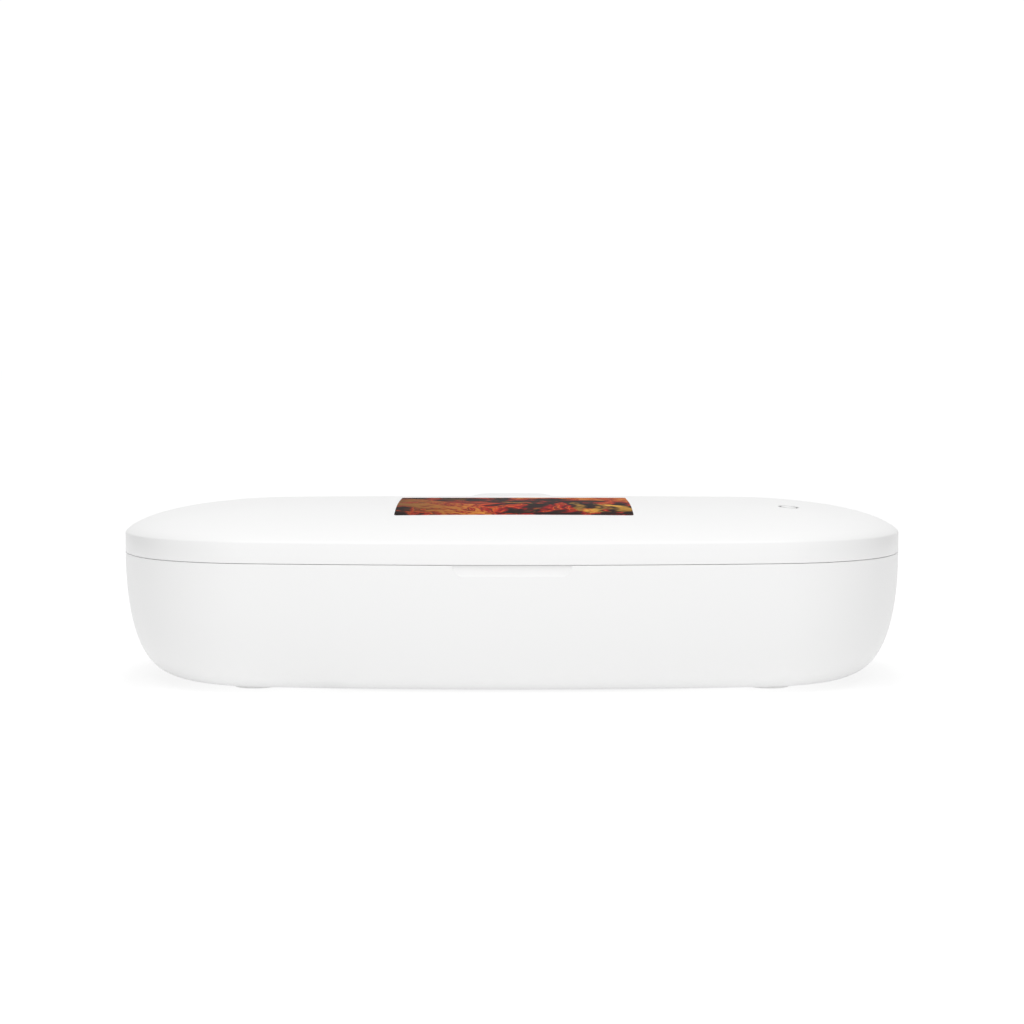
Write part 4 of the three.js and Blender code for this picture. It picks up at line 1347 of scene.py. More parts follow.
@dataclass
class PowerButton:
    """The round button, flush with the dome, with a dark ring of painted shade low in the gap
    round it and its stem inside.
    """

    lid: LidShell = field(default_factory=LidShell)
    cap_radius: float = 2.0
    flange_radius: float = 3.4
    flange: float = 0.8
    flange_clear: float = 3.9  # the flange hangs below the roof as far out as this
    stem_radius: float = 1.2
    stem_foot: float = 44.05
    edge_round: float = 0.14
    edge_above: float = 0.5  # the rounded edge lies more than this above the flange
    edge_beside: float = 0.02  # and no further than this inside the cap's radius
    edge_fall: float = 0.4  # and its parts don't fall more than this
    ring_fit: float = 0.03  # play of the ring towards the hole and the cap
    ring_depth: float = 0.28  # how far below the dome the ring lies
    ring_height: float = 1.4

    def ring(self) -> None:
        """Builds the dark ring that lies low in the gap round the cap, a painted shade for the
        gap's depth.
        """
        foot = CROWN.height(*AT.button) - self.ring_height
        top = foot + self.ring_height + OVERRUN
        ring = rod("button_ring", self.lid.button_hole - self.ring_fit, foot, top, *AT.button)
        bore = rod("bore", self.cap_radius + self.ring_fit, foot - OVERRUN, top + OVERRUN,
                   *AT.button)
        ring.combine(bore, Join.CUT)
        ring.combine(self.lid.outer("dome").move(z=-self.ring_depth), Join.SHARE)
        ring.settle("lid", "seal", PAINTED_GAP_SHADE)

    def on_edge(self, place: Vector, foot: float) -> bool:
        """Says whether a place lies on the cap's upper edge, over a foot."""
        aside = math.hypot(place.x - AT.button[0], place.y - AT.button[1])
        return place.z > foot + self.edge_above and aside > self.cap_radius - self.edge_beside

    def build(self) -> None:
        """Builds the ring and the button and hands both over."""
        self.ring()
        x, y = AT.button
        sides = (-self.flange_clear, 0, self.flange_clear)
        seat = min(CROWN.height(x + side, y - abs(side)) for side in sides) - self.lid.roof - GAP
        below = seat - self.flange
        top = CROWN.band_top + CROWN.rise + OVERRUN
        button = rod("power_button_cap", self.cap_radius, seat, top, x, y)
        button.combine(rod("flange", self.flange_radius, below, seat + LAP, x, y), Join.ADD)
        button.combine(rod("stem", self.stem_radius, self.stem_foot, below + LAP, x, y), Join.ADD)
        button.combine(self.lid.outer("dome"), Join.SHARE)
        button.soften(self.edge_round, 3, lambda e: span(e, Z) < self.edge_fall
                      and both(e, lambda end: self.on_edge(end, seat)))
        button.settle("power_button", "shell", BUTTON_PLASTIC, "power_button")


@dataclass
class LidPrint:
    """The printed panel in the middle of the lid, laid on the dome."""

    lid: LidShell = field(default_factory=LidShell)
    width: float = 64.0
    depth: float = 49.0
    middle: Pair = (0.5, -16.5)  # in x and y
    corner: float = 0.8
    corner_steps: int = 4
    film: float = 0.05
    lift: float = 0.01
    columns: int = 56
    rows: int = 42

    def build(self) -> None:
        """Builds the panel and hands it over."""
        leave_edit()
        bpy.ops.mesh.primitive_grid_add(
            x_subdivisions=self.columns, y_subdivisions=self.rows, size=1,
            location=(0, 0, CROWN.band_top + CROWN.rise + OVERRUN))
        panel = Blank("lid_print")
        panel.pick_all()
        panel.stretch((self.width, self.depth, 1))
        panel.pick(Kind.VERT, lambda v: abs(v.co.x) > self.width / 2 - LEVEL
                   and abs(v.co.y) > self.depth / 2 - LEVEL)
        bpy.ops.mesh.bevel(offset=self.corner, segments=self.corner_steps, affect="VERTICES")
        panel.move(*self.middle)
        dome = self.lid.outer("dome")
        panel.apply("SHRINKWRAP", wrap_method="PROJECT", use_project_z=True,
                    use_negative_direction=True, use_positive_direction=False,
                    wrap_mode="ABOVE_SURFACE", offset=self.film + self.lift, target=dome.item)
        dome.discard()
        panel.apply("SOLIDIFY", thickness=self.film, offset=-1)
        panel.settle("lid", "shell", PRINT_INK)


@dataclass
class LidPanel:
    """The mirrored panel that closes the lid from below."""

    step: float = 9.1
    slope: float = 2.0
    lead: float = 0.6  # the step lies this much further out on its upper side
    step_round: float = 0.5
    edge_round: float = 0.25
    lamp_post: float = 41.5
    lamp_stake: Pair = (41.4, 43.4)
    switch_post: float = 39.8
    switch_stake: Pair = (39.5, 41.7)
    screw_hole: float = 1.5
    notch: tuple[Pair, Pair] = ((-7.8, 51.8), (7.8, 61.0))  # its corners, round the hinge ear

    def posts(self) -> Blank:
        """Makes the posts that carry the lamp board and the button's board.

        Returns:
            The posts and their stakes.
        """
        foot = AT.panel_top - AT.root
        made = [staked_post(f"lamp_post_{i}", (foot, self.lamp_post), self.lamp_stake, x, 0)
                for i, x in enumerate((-AT.stake_x, AT.stake_x))]
        made += [staked_post(f"switch_post_{i}", (foot, self.switch_post), self.switch_stake, x,
                             AT.button[1]) for i, x in enumerate(AT.switch_posts)]
        return gather(made)

    def holes(self) -> Blank:
        """Makes the cutters for windows, screws and hinge ear.

        Returns:
            The cutters.
        """
        foot, top = AT.panel_top - AT.sheet - OVERRUN, AT.panel_top + OVERRUN
        made = window_holes(foot, top)
        made += four_rods("screw_", self.screw_hole, (foot, top),
                          (AT.panel_screw_x, AT.panel_screw_y), AT.boss_sides)
        front, rear = self.notch
        made.append(block("notch", (*front, AT.panel_foot - OVERRUN), (*rear, top)))
        return gather(made)

    def build(self) -> None:
        """Builds the panel and hands it over."""
        edge, above = AT.sheet_edge, self.step - self.lead
        panel = PLAN.plate("lid_panel_mirror", edge, AT.panel_foot)
        panel.walk([(edge, AT.panel_foot), (edge, AT.panel_flange_top),
                    (above, AT.panel_flange_top), (above + self.slope, AT.panel_top)], 1)
        panel.pick_cap(Z, -1)
        ceiling = AT.panel_top - AT.sheet
        panel.walk([(edge, AT.panel_foot), (self.step, AT.panel_foot),
                    (self.step + self.slope, ceiling)], -1)
        panel.soften(self.step_round, 4, lambda e: span(e, Z) < HAIR and both(
            e, lambda end: end.z < ceiling + LEVEL and inset_of(end) > self.step - BESIDE))
        panel.soften(self.edge_round, 2, lambda e: span(e, Z) < HAIR and both(
            e, lambda end: inset_of(end) < edge + BESIDE))
        panel.combine(self.posts(), Join.ADD)
        panel.combine(self.holes(), Join.CUT)
        panel.settle("lid", "mirror", MIRROR, "lid_panel")


# Base


@dataclass
class BaseShell:
    """The bowl: the base's outer shell, with hinge ear, finger scoop and socket opening."""

    bowl_inset: float = 27.3
    inset_power: float = 0.408
    drop_power: float = 0.948
    outer_steps: int = 26
    step_power: float = 1.7  # draws the rings closer together towards the foot
    room_start: float = 0.2  # share of the curve at which the inside starts
    room_shares: tuple[float, ...] = (0.28, 0.36, 0.44, 0.52, 0.6, 0.67, 0.74, 0.8, 0.86, 0.91,
                                      0.955, 0.985)
    room_over: float = 1.0  # how far the inside's cutter rises past the ledge
    ledge_width: float = 2.8
    ledge_thickness: float = 1.8
    rim: float = 0.6  # upright stretch below the rim
    rim_free: float = 1.5  # share of it that holds no ring of the curve
    rim_round: float = 0.14
    seam: float = 0.01
    scoop_width: float = 31.4
    scoop_foot: float = 30.8
    scoop_height: float = 2.9
    scoop_depth: float = 0.5
    scoop_shelf: float = 0.3  # depth at its lower edge
    scoop_round: float = 2.4
    scoop_edge: float = 0.22
    scoop_slant: float = 0.45
    ear_radius: float = 3.5
    ear_half: float = 7.4
    ear_root: float = 3.0
    ear_round: float = 0.3
    ear_steps: int = 28
    pin_half: float = 8.0
    floor_root: float = 1.1  # how far a post reaches into the floor
    boss_top: float = 6.5
    board_posts: tuple[Pair, ...] = ((-32.0, 20.4), (32.0, 20.4), (-32.0, 42.4), (32.0, 42.4))
    post_top: float = 9.3
    stake: Pair = (9.0, 11.2)
    pocket: tuple[Place, Pair] = ((-8.5, -57.8, 27.35), (21.5, -52.2))  # its top is the ledge
    foot_recess: float = 6.3
    foot_seat: float = 1.8
    screw_head: tuple[float, Pair] = (2.9, (1.0, 3.6))  # radius and heights of its room
    screw_shank: tuple[float, float] = (1.5, 3.0)  # radius and foot of its hole
    shank_sides: int = 20
    well_heights: Pair = (28.55, 34.2)
    sensor_x: Pair = (13.7, 20.3)
    sensor_thick: float = 1.3
    socket_cuts: tuple[Place, ...] = ((4.77, 1.93, 47.4), (5.97, 3.13, 55.3))
    cut_upright: float = 0.1  # half of what their round sides leave straight

    def bowl_ring(self, share: float, start: float, top: float, floor: float) -> Pair:
        """Finds a ring of the bowl's curve.

        Args:
            share: how far down the curve it lies, from 0 to 1.
            start: inset at the curve's top.
            top: height of the curve's top.
            floor: height of its foot.

        Returns:
            The ring's inset and height.
        """
        turn = share * math.pi / 2
        inset = self.bowl_inset * (1 - math.cos(turn) ** self.inset_power)
        return start + inset, top - (top - floor) * math.sin(turn) ** self.drop_power

    def outer(self) -> Blank:
        """Makes the bowl's outer form.

        Returns:
            A closed solid.
        """
        start = (0, AT.base_rim - self.rim)
        form = PLAN.plate("base_shell_gloss", *start)
        form.pull(z=self.rim)
        rings = [self.bowl_ring(1 - (1 - i / self.outer_steps) ** self.step_power, 0, AT.parting,
                                AT.underside) for i in range(1, self.outer_steps)]
        below = AT.base_rim - self.rim_free * self.rim
        form.pick_cap(Z, -1)
        form.walk([start, *(ring for ring in rings if ring[1] < below),
                   (self.bowl_inset, AT.underside)], -1)
        leave_edit()
        return form.tidy()

    def room(self) -> Blank:
        """Makes the cutter for the inside below the ledge.

        Returns:
            The cutter.
        """
        rings = [self.bowl_ring(share, AT.wall, AT.base_rim, AT.inner_floor)
                 for share in (self.room_start, *self.room_shares)]
        widest = rings[0]
        rings[0] = (widest[0], widest[1] - self.seam)
        room = PLAN.plate("room", *rings[0])
        room.pull(z=self.seam)
        room.pick_cap(Z, -1)
        room.walk([*rings, (AT.wall + self.bowl_inset, AT.inner_floor)], -1)
        room.pick_cap(Z, 1)
        inside = AT.wall + self.ledge_width
        room.walk([widest, (inside, AT.ledge - self.ledge_thickness),
                   (inside, AT.ledge + self.room_over)], 1)
        leave_edit()
        return room.tidy()

    def tangent(self, y: float, side: int) -> float:
        """Finds where a line from the rim meets the ear's round eye.

        Args:
            y: where it starts on the rim.
            side: 1 behind the eye and -1 in front of it.

        Returns:
            The turn in degrees.
        """
        across, down = y - AT.hinge[0], AT.base_rim - AT.hinge[1]
        lean = math.acos(min(1.0, self.ear_radius / math.hypot(across, down)))
        return math.degrees(math.atan2(down, across) + side * lean)

    def ear(self) -> Blank:
        """Makes the hinge ear that stands on the rear rim.

        Returns:
            The ear, without its hole.
        """
        foot, rear = AT.base_rim - self.ear_root, PLAN.half_depth
        front = rear - AT.wall
        around = arc(AT.hinge, self.ear_radius, self.tangent(rear, 1),
                     self.tangent(front, -1) + WHOLE_TURN, self.ear_steps)
        ear = slab("ear", [(rear, foot), (rear, AT.base_rim), *around, (front, AT.base_rim),
                           (front, foot)], self.ear_half)
        ear.soften(self.ear_round, 2, lambda e: span(e, X) < HAIR
                   and both(e, lambda end: abs(abs(end.x) - self.ear_half) < HAIR)
                   and not both(e, lambda end: end.z <= AT.parting))
        return ear

    def scoop(self) -> Blank:
        """Makes the cutter for the finger scoop.

        Returns:
            A cutter whose back follows the wall and slants out at its foot.
        """
        half, front = self.scoop_width / 2, -PLAN.half_depth
        low, top = AT.parting - self.scoop_height, AT.parting + OVERRUN
        cutter = block("scoop", (-half, front - OVERRUN, low), (half, front + OVERRUN, top))
        cutter.pick(Kind.VERT, lambda v: v.co.z < low + LEVEL)
        cutter.stretch((self.scoop_foot / self.scoop_width, 1, 1))
        cutter.soften(self.scoop_round, 6, lambda e: span(e, Y) > LONG
                      and both(e, lambda end: end.z < low + LEVEL))
        edge = self.scoop_shelf - self.scoop_edge
        core = PLAN.plate("core", edge, low - OVERRUN)
        core.walk([(edge, low - OVERRUN), (edge, low), (self.scoop_shelf, low + self.scoop_slant),
                   (self.scoop_depth, AT.parting), (self.scoop_depth, top + OVERRUN)], 1)
        cutter.combine(core, Join.CUT)
        return cutter

    def holders(self) -> Blank:
        """Makes what stands inside the bowl.

        Returns:
            The screws' bosses, the board's posts and the pocket for magnet and sensor.
        """
        floor = AT.inner_floor - self.floor_root
        made = four_rods("boss_", AT.boss_radius, (floor, self.boss_top), (AT.foot_x, AT.foot_y),
                         AT.boss_sides)
        made += [staked_post(f"post_{i}", (floor, self.post_top), self.stake, *place)
                 for i, place in enumerate(self.board_posts)]
        low, high = self.pocket
        return gather([*made, block("pocket", low, (*high, AT.ledge))])

    def wells(self) -> Blank:
        """Makes the cutters for feet, screws, magnet and sensor.

        Returns:
            The cutters.
        """
        cuts = []
        (head, heights), (shank, foot) = self.screw_head, self.screw_shank
        for name, *place in corners(AT.foot_x, AT.foot_y):
            recess = rod("recess_" + name, self.foot_recess, AT.underside - OVERRUN,
                         self.foot_seat, *place)
            recess.combine(rod("head", head, *heights, *place, AT.boss_sides), Join.ADD)
            recess.combine(rod("shank", shank, foot, self.boss_top + OVERRUN, *place,
                               self.shank_sides), Join.ADD)
            cuts.append(recess)
        low, high = self.well_heights
        left, right = self.sensor_x
        sensor = block("sensor_well", (left, AT.magnet_row - self.sensor_thick, low),
                       (right, AT.magnet_row + self.sensor_thick, high))
        return gather([*cuts, magnet_well(low, high), sensor])

    def socket_opening(self, half_x: float, half_z: float, front: float) -> Blank:
        """Makes a cutter for the charging socket's opening.

        Args:
            half_x: half its width.
            half_z: half its height.
            front: how far to the rear it starts.

        Returns:
            A round-ended cutter that reaches out past the rear.
        """
        cutter = block("opening", (-half_x, front, AT.socket_z - half_z),
                       (half_x, PLAN.half_depth + OVERRUN, AT.socket_z + half_z))
        cutter.soften(half_z - self.cut_upright, 8, lambda e: span(e, Y) > LONG)
        return cutter

    def build(self) -> None:
        """Builds the base shell and hands it over."""
        base = self.outer()
        base.pick_cap(Z, 1)
        base.walk([(0, AT.base_rim), (AT.wall, AT.base_rim), (AT.wall, AT.ledge)], 1)
        base.soften(self.rim_round, 3, on_rim(AT.base_rim))
        base.combine(self.room(), Join.CUT)
        base.combine(self.holders(), Join.ADD)
        base.combine(self.ear(), Join.ADD)
        base.combine(self.scoop(), Join.CUT)
        base.combine(self.wells(), Join.CUT)
        base.combine(pin_hole(self.pin_half), Join.CUT)
        for cut in self.socket_cuts:
            base.combine(self.socket_opening(*cut), Join.CUT)
        base.settle("base", "shell", SHELL, "base_shell")


@dataclass
class MirrorTray:
    """The mirrored tray in which the phone lies."""

    mouth: float = 8.3
    draft: float = 3.4
    lip: Pair = (1.0, 0.5)  # width and drop of its round edge
    lip_steps: int = 5
    fillet: float = 6.0
    fillet_steps: int = 8
    boss_radius: float = 3.4
    boss_foot: float = 6.8
    lamp_post: float = 12.8
    lamp_stake: Pair = (10.9, 13.0)
    hole_foot: float = 13.0
    pilot: Pair = (6.0, 14.6)

    def corner_path(self, radius: float) -> list[Pair]:
        """Walks round the foot of the wall.

        Args:
            radius: of the round, larger under the tray than in it.

        Returns:
            Pairs of inset and height.
        """
        foot, middle = self.mouth + self.draft + self.fillet, AT.tray_floor + self.fillet
        return [(foot - radius * math.cos(turn), middle - radius * math.sin(turn))
                for turn in quarter(self.fillet_steps)]

    def holders(self) -> Blank:
        """Makes what hangs under the tray.

        Returns:
            The screws' bosses and the lamp board's posts.
        """
        top = AT.tray_floor - AT.root
        made = four_rods("boss_", self.boss_radius, (self.boss_foot, top), (AT.foot_x, AT.foot_y),
                         AT.boss_sides)
        made += [staked_post(f"post_{i}", (self.lamp_post, top), self.lamp_stake, x, 0)
                 for i, x in enumerate((-AT.stake_x, AT.stake_x))]
        return gather(made)

    def build(self) -> None:
        """Builds the tray and hands it over."""
        edge, top, start = AT.sheet_edge, AT.tray_flange_top, self.mouth - self.lip[0]
        foot = top - AT.sheet
        tray = PLAN.plate("mirror_tray_film", edge, foot)
        lip = [(start + self.lip[0] * math.sin(turn), top - self.lip[1] * (1 - math.cos(turn)))
               for turn in quarter(self.lip_steps)]
        tray.walk([(edge, foot), (edge, top), *lip, *self.corner_path(self.fillet)], 1)
        tray.pick_cap(Z, -1)
        tray.walk([(edge, foot), (self.mouth - AT.sheet, foot),
                   *self.corner_path(self.fillet + AT.sheet)], -1)
        tray.combine(self.holders(), Join.ADD)
        holes = window_holes(self.hole_foot, AT.tray_floor + OVERRUN)
        holes += four_rods("pilot_", AT.pilot_hole, self.pilot, (AT.foot_x, AT.foot_y),
                           AT.stake_sides)
        tray.combine(gather(holes), Join.CUT)
        tray.settle("base", "mirror", MIRROR, "mirror_tray")


@dataclass
class LightSeal:
    """The soft ring between the tray's flange and the lid's panel."""

    inset: float = 3.4
    width: float = 2.2
    foot: float = 33.95
    sole: float = 0.2  # upright stretch above its foot
    lip: float = 0.5  # half its width
    lip_round: Pair = (0.2, 0.12)

    def build(self) -> None:
        """Builds the ring and hands it over."""
        outer, inner = (self.inset, self.foot), (self.inset + self.width, self.foot)
        sole = self.foot + self.sole
        seal = PLAN.plate("light_seal_ring", *outer)
        seal.pull(z=self.sole)
        seal.pick_cap(Z, 1)
        middle, top = self.inset + self.width / 2, AT.parting
        low, high = middle - self.lip, middle + self.lip
        side, fall = self.lip_round
        seal.walk([(self.inset, sole), (low, top - fall), (low + side, top), (high - side, top),
                   (high, top - fall), inner], 1)
        bpy.ops.mesh.delete(type="ONLY_FACE")
        seal.pick_cap(Z, -1)
        seal.walk([outer, inner], -1)
        bpy.ops.mesh.delete(type="ONLY_FACE")
        seal.tidy().settle("base", "seal", SEAL_RUBBER, "light_seal")


@dataclass
class PhoneRails:
    """Two clear rails that hold the phone off the tray, each on three low arches."""

    spread: float = 36.0
    half: float = 30.0
    width: float = 3.0
    foot: float = 16.5
    top: float = 20.5
    top_round: float = 0.7
    side_round: float = 0.3
    round_foot: float = 0.75  # the upper rounds end this far below the top
    post: float = 3.0
    beam: float = 1.4
    arches: int = 3
    arch_round: float = 1.2

    def build(self) -> None:
        """Builds one rail, copies it and hands both over."""
        side, ceiling = self.width / 2, self.top - self.beam
        rail = block("phone_rail_right_clear", (-side, -self.half, self.foot),
                     (side, self.half, self.top))
        rail.soften(self.top_round, 4, lambda e: span(e, X) > LONG
                    and both(e, lambda end: end.z > self.top - LEVEL))
        bay = (self.half * 2 - self.post * (self.arches + 1)) / self.arches
        for i in range(self.arches):
            start = -self.half + self.post + i * (bay + self.post)
            arch = block("arch", (-self.width, start, self.foot - OVERRUN),
                         (self.width, start + bay, ceiling))
            arch.soften(self.arch_round, 5, lambda e: span(e, X) > LONG
                        and both(e, lambda end: end.z > ceiling - LEVEL))
            rail.combine(arch, Join.CUT)
        rail.soften(self.side_round, 3, lambda e: span(e, X) < LEVEL and both(
            e, lambda end: end.z > self.top - self.round_foot and abs(end.x) > side - LEVEL))
        rail.move(x=self.spread)
        other = rail.copy("phone_rail_left_clear").move(x=-2 * self.spread)
        rail.settle("base", "clear", CLEAR_PLASTIC, "phone_rail_right")
        other.settle("base", "clear", CLEAR_PLASTIC, "phone_rail_left")


@dataclass
class LampWindows:
    """Six round windows of clear glass, three in the tray and three in the lid's panel."""

    radius: float = 6.0
    flange_radius: float = 7.3
    flange: float = 0.6
    foot: float = 14.1
    edge_round: float = 0.3
    turn_height: float = 27.15  # halfway between a window of the tray and one of the lid

    def build(self) -> None:
        """Builds one window, copies it to its places and hands all over."""
        seat = self.foot + self.flange
        first = rod("window", self.flange_radius, self.foot, seat)
        first.pick_cap(Z, 1)
        first.narrow(self.flange_radius - self.radius)
        first.pull(z=AT.tray_floor - seat)
        first.soften(self.edge_round, 4, lambda e: both(
            e, lambda end: end.z > AT.tray_floor - LEVEL and end.xy.length > self.radius - SKIN))
        for i, side in enumerate(("left", "centre", "right")):
            x = (i - 1) * AT.lamp_pitch
            glass = first.copy(f"base_window_{side}_glass").move(x=x)
            over = glass.copy(f"lid_window_{side}_glass").turn(WHOLE_TURN / 2, "X",
                                                               (x, 0, self.turn_height))
            glass.settle("base", "clear", GLASS, f"base_window_{side}")
            over.settle("lid", "clear", GLASS, f"lid_window_{side}")
        first.discard()


@dataclass
class Feet:
    """Four round rubber feet with a shallow ring in their soles."""

    radius: float = 6.0
    top: float = 1.5
    edge_round: float = 0.5
    ring: tuple[Pair, ...] = ((0, 0), (1.4, 0), (1.55, 0.25), (2.05, 0.25), (2.2, 0))

    def build(self) -> None:
        """Builds one foot, copies it to its places and hands all over."""
        first = rod("foot", self.radius, 0, self.top)
        first.soften(self.edge_round, 4, lambda e: both(e, lambda end: end.z < LEVEL))
        first.pick_cap(Z, -1)
        first.walk(self.ring, -1)
        for name, x, y in corners(AT.foot_x, AT.foot_y):
            foot = first.copy(f"foot_{name}_rubber").move(x, y)
            foot.settle("base", "rubber", FOOT_RUBBER, "foot_" + name)
        first.discard()


@dataclass
class Screws:
    """Slotted screws: four up through the base into the tray, four up through the panel."""

    head_radius: float = 2.6
    head: float = 1.2
    head_round: float = 0.4
    head_sides: int = 40
    shank_radius: float = 0.95
    tip: float = 0.25  # share of the shank's radius that is left at its end
    slot_half: Pair = (4.0, 0.35)
    slot_depth: float = 0.5
    tray: Pair = (10.9, 3.3)  # length below the head, and height of its seat
    panel: Pair = (6.9, 37.8)
    turns: tuple[float, ...] = (12.0, 71.0, 140.0, 38.0)

    def screw(self, length: float) -> Blank:
        """Makes a screw.

        Args:
            length: how long it is without its head.

        Returns:
            The screw, on its head, with the seat of the head at zero height.
        """
        item = rod("screw", self.head_radius, -self.head, 0, sides=self.head_sides)
        item.soften(self.head_round, 4, lambda e: both(e, lambda end: end.z < LEVEL - self.head))
        item.pick_cap(Z, 1)
        item.narrow(self.head_radius - self.shank_radius)
        item.pull(z=length - self.shank_radius)
        item.draw_in(self.tip, self.shank_radius)
        x, y = self.slot_half
        slot = block("slot", (-x, -y, -self.head - OVERRUN), (x, y, self.slot_depth - self.head))
        item.combine(slot, Join.CUT)
        return item

    def build(self) -> None:
        """Builds both lengths, copies them to their places and hands all over."""
        rows = (("tray", "base", self.tray, (AT.foot_x, AT.foot_y)),
                ("panel", "lid", self.panel, (AT.panel_screw_x, AT.panel_screw_y)))
        for kind, body, (length, seat), places in rows:
            first = self.screw(length)
            for (name, x, y), turn in zip(corners(*places), self.turns):
                one = first.copy(f"{kind}_screw_{name}_steel").turn(turn, "Z").move(x, y, seat)
                one.settle(body, "steel", STEEL, f"{kind}_screw_{name}")
            first.discard()


@dataclass
class ChargingInlet:
    """The charging socket at the rear: a thin plated shell round a flat tongue."""

    half_x: float = 4.47
    half_z: float = 1.63
    upright: float = 0.15  # half of what the round sides leave straight
    back: float = 47.5
    mouth: float = 54.9
    wall: float = 0.3
    bottom: float = 1.0
    tongue_x: float = 3.3
    tongue_z: float = 0.35
    tongue_round: float = 0.2

    def build(self) -> None:
        """Builds the socket and hands it over."""
        z, end = AT.socket_z, self.mouth - self.bottom
        socket = block("charging_inlet_plate", (-self.half_x, self.back, z - self.half_z),
                       (self.half_x, self.mouth, z + self.half_z))
        socket.soften(self.half_z - self.upright, 8, lambda e: span(e, Y) > LONG)
        socket.pick_cap(Y, 1)
        socket.narrow(self.wall)
        socket.pull(y=self.back - end)
        tongue = block("tongue", (-self.tongue_x, self.back + self.bottom / 2, z - self.tongue_z),
                       (self.tongue_x, end, z + self.tongue_z))
        tongue.soften(self.tongue_round, 3,
                      lambda e: not both(e, lambda place: place.y <= end - LEVEL))
        socket.combine(tongue, Join.ADD)
        socket.settle("base", "steel", SOCKET_PLATE, "charging_inlet")


@dataclass
class CarriedParts:
    """The inner parts whose solids are shown as they are, each with its own finish."""

    finishes: dict[str, Finish] = field(default_factory=lambda: {
        "main_board": MAIN_BOARD, "lid_sensor": SMALL_BOARD, "base_magnet": NICKEL,
        "lid_magnet": NICKEL, "hinge_pin": STEEL, "charger_bracket": INNER_PLASTIC,
        "charger_ferrite": FERRITE, "charger_coil": COPPER, "button_board": SMALL_BOARD,
        "button_switch": BLACK_PLASTIC, "base_lamp_board": BASE_LAMP_BOARD,
        "lid_lamp_board": LID_LAMP_BOARD})

    def build(self) -> None:
        """Gives each part its finish."""
        for name, finish in self.finishes.items():
            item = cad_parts[name]
            item.data.materials.clear()
            item.data.materials.append(finish.material())


# Studio


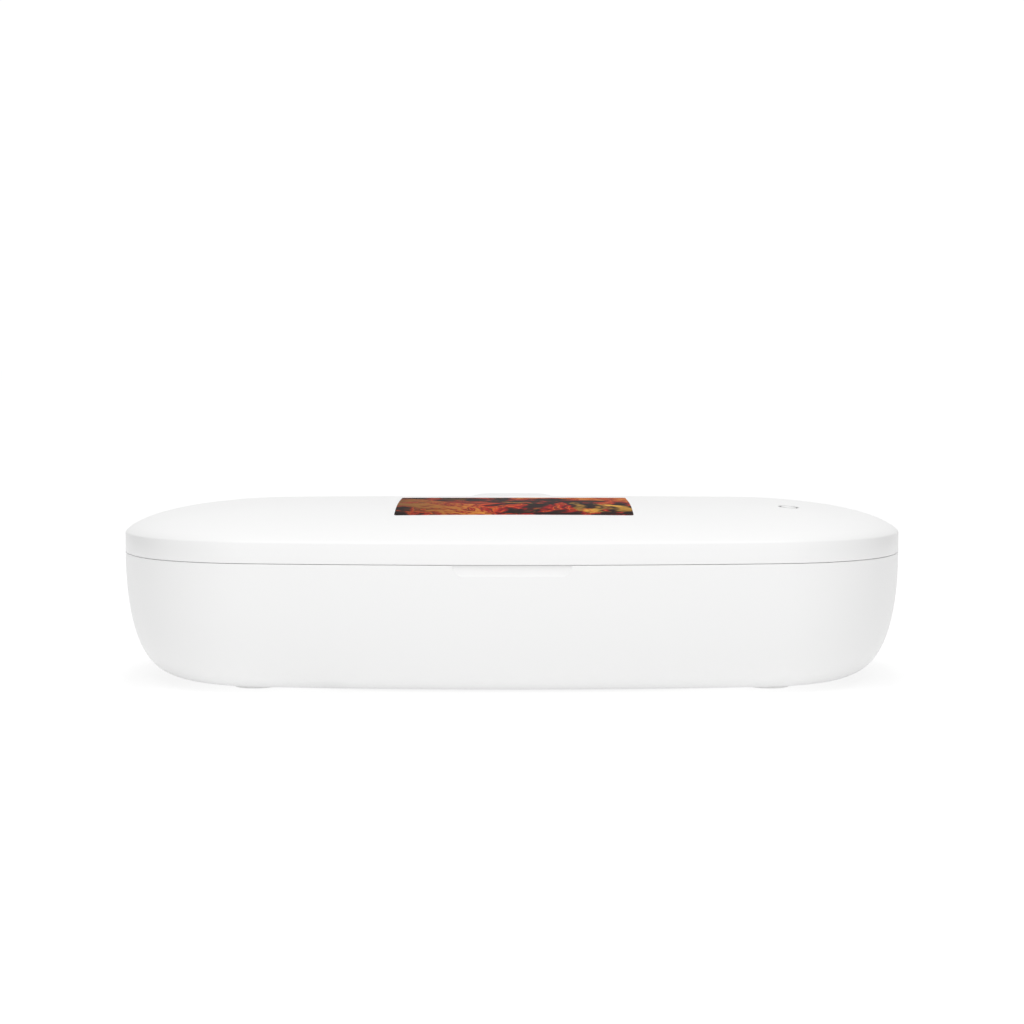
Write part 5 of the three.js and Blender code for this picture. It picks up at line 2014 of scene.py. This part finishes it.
@dataclass
class Studio:
    """The pale glowing floor with its painted shadows, the soft light and the camera."""

    camera_y: float = -0.6848  # in metres
    camera_z: float = 0.0878
    pitch: float = 3.51
    lens: float = 84.7
    film: float = 36.0
    clip: Pair = (0.01, 100.0)
    floor_reach: float = 60.0
    floor_colour: float = 0.25
    floor_glow: float = 0.775
    floor_shown: float = 0.84
    under_power: float = 3.0  # how square the covered place is
    under_lit: Pair = (0.002, 0.026)  # how far inside the outline its light falls off, in metres
    under_shadow_glow: float = 0.55  # painted shadow in the glow: what the covered floor gives back, as a share of the glow
    contact_shadow_edge: Pair = (0.018, 0.025)  # how far inside it the painted contact shadow darkens the floor as seen
    # painted contact shadow: share of the seen floor's brightness left under the box
    contact_shadow_share: float = 0.82
    ends: Pair = (0.55, 0.95)  # shares of the length between which an end begins
    end_lit: Pair = (0.35, 0.8)
    # painted shadow: share of the glow that the floor gives back at the ends
    end_shadow_glow: float = 0.2
    # painted shadow on the seen floor beside the ends: where it lies and how dark it is
    end_shadow_edge: Pair = (-0.012, 0.002)
    end_shade: float = 0.1
    sky: float = 0.865
    side_sky: float = 0.07
    side: Pair = (0.45, 0.85)  # how far aside a ray points where the surround starts to darken
    backdrop: float = 1.05
    lamp_power: float = 9.2
    lamp_size: Pair = (1.4, 0.9)
    lamp_reach: float = 1.5
    lamp_height: float = 65.0  # degrees above the table, seen from the box

    def covered(self, wires: Wiring) -> tuple[Socket, Socket]:
        """Finds how a place on the floor lies to the box.

        Args:
            wires: the floor's nodes.

        Returns:
            How far inside the box's outline it lies, in metres, and its share towards an end.
        """
        long, deep = PLAN.half_length * MM, PLAN.half_depth * MM
        place = wires.vector("SUBTRACT", wires.own(), (0, SHIFT_Y * MM, 0))
        share = wires.vector("ABSOLUTE", wires.vector("DIVIDE", place, (long, deep, 1.0)))
        along, across, _ = wires.axes(share)
        powers = [wires.math("POWER", part, self.under_power) for part in (along, across)]
        ring = wires.math("POWER", wires.math("ADD", *powers), 1 / self.under_power)
        aside = wires.between(along, *self.ends)
        reach = wires.between(aside, 0.0, 1.0, deep, long)
        return wires.math("MULTIPLY", wires.math("SUBTRACT", 1.0, ring), reach), aside

    def floor(self) -> None:
        """Lays a pale glowing floor, with painted shadow under the box and beside its ends."""
        leave_edit()
        bpy.ops.mesh.primitive_plane_add(size=self.floor_reach, location=(0, 0, 0))
        item = bpy.context.view_layer.objects.active
        item.name = "floor"
        made = bpy.data.materials.new("pale_floor")
        made.use_nodes = True
        wires = Wiring(made.node_tree)
        inset, aside = self.covered(wires)
        glow, shown = self.floor_glow, self.floor_shown
        # painted shadow in the glow that lights the box: dimmed under it, more so at its ends
        shadowed_glow = wires.between(aside, *self.end_lit, glow * self.under_shadow_glow, glow * self.end_shadow_glow)
        lit = wires.between(inset, *self.under_lit, glow, shadowed_glow)
        # painted shadow on the seen floor beside the box's ends
        end_shadow_mask = wires.math("MULTIPLY", aside, wires.between(inset, *self.end_shadow_edge))
        ends = wires.between(end_shadow_mask, 0.0, 1.0, 1.0, 1.0 - self.end_shade)
        # painted contact shadow on the seen floor under the box's edge
        below = wires.between(inset, *self.contact_shadow_edge, shown, shown * self.contact_shadow_share)
        seen = wires.add("LightPath").outputs["Is Camera Ray"]
        strength = wires.between(seen, 0.0, 1.0, lit, wires.math("MULTIPLY", ends, below))
        shader = wires.add("BsdfPrincipled", {
            "Base Color": (self.floor_colour,) * 3, "Roughness": 1.0, "Specular IOR Level": 0.0,
            "Emission Color": (1, 1, 1), "Emission Strength": strength})
        wires.add("OutputMaterial", {"Surface": shader.outputs[0]})
        item.data.materials.append(made)

    def light(self) -> None:
        """Sets an even pale surround and one large soft lamp in front and above."""
        world = bpy.data.worlds.new("surround")
        bpy.context.scene.world = world
        world.use_nodes = True
        wires = Wiring(world.node_tree)
        way = wires.add("TexCoord").outputs["Generated"]
        aside = wires.math("ABSOLUTE", wires.axes(way)[X])
        around = wires.between(aside, *self.side, self.sky, self.side_sky)
        seen = wires.add("LightPath").outputs["Is Camera Ray"]
        shown = wires.between(seen, 0.0, 1.0, 0.0, self.backdrop)
        back = wires.add("Background", {"Color": (1, 1, 1),
                                        "Strength": wires.math("MAXIMUM", around, shown)})
        wires.add("OutputWorld", {"Surface": back.outputs[0]})
        lamp = bpy.data.lights.new("front_lamp", "AREA")
        lamp.shape = "RECTANGLE"
        lamp.size, lamp.size_y = self.lamp_size
        lamp.energy = self.lamp_power
        item = bpy.data.objects.new("front_lamp", lamp)
        rise = math.radians(self.lamp_height)
        item.location = (0, -self.lamp_reach * math.cos(rise), self.lamp_reach * math.sin(rise))
        item.rotation_euler = (math.pi / 2 - rise, 0, 0)
        item.visible_camera = False
        bpy.context.scene.collection.objects.link(item)

    def camera(self) -> None:
        """Puts the camera where the photograph was taken from."""
        lens = bpy.data.cameras.new("photo_view")
        lens.lens, lens.sensor_width = self.lens, self.film
        lens.clip_start, lens.clip_end = self.clip
        item = bpy.data.objects.new("photo_view", lens)
        item.location = (0, self.camera_y, self.camera_z)
        item.rotation_euler = (math.radians(WHOLE_TURN / 4 - self.pitch), 0, 0)
        bpy.context.scene.collection.objects.link(item)
        bpy.context.scene.camera = item

    def build(self) -> None:
        """Sets the studio up."""
        self.floor()
        self.light()
        self.camera()
        bpy.context.scene.view_settings.view_transform = "Standard"


def main() -> None:
    """Dresses the carried parts and builds every piece in order, then the studio."""
    logging.basicConfig(level=logging.INFO)
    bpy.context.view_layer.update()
    for maker in (CarriedParts, LidShell, PowerButton, LidPrint, LidPanel, BaseShell, MirrorTray,
                  LightSeal, PhoneRails, LampWindows, Feet, Screws, ChargingInlet, Studio):
        maker().build()
        log.info("%s built", maker.__name__)
    leave_edit()


if __name__ == "__main__":
    main()
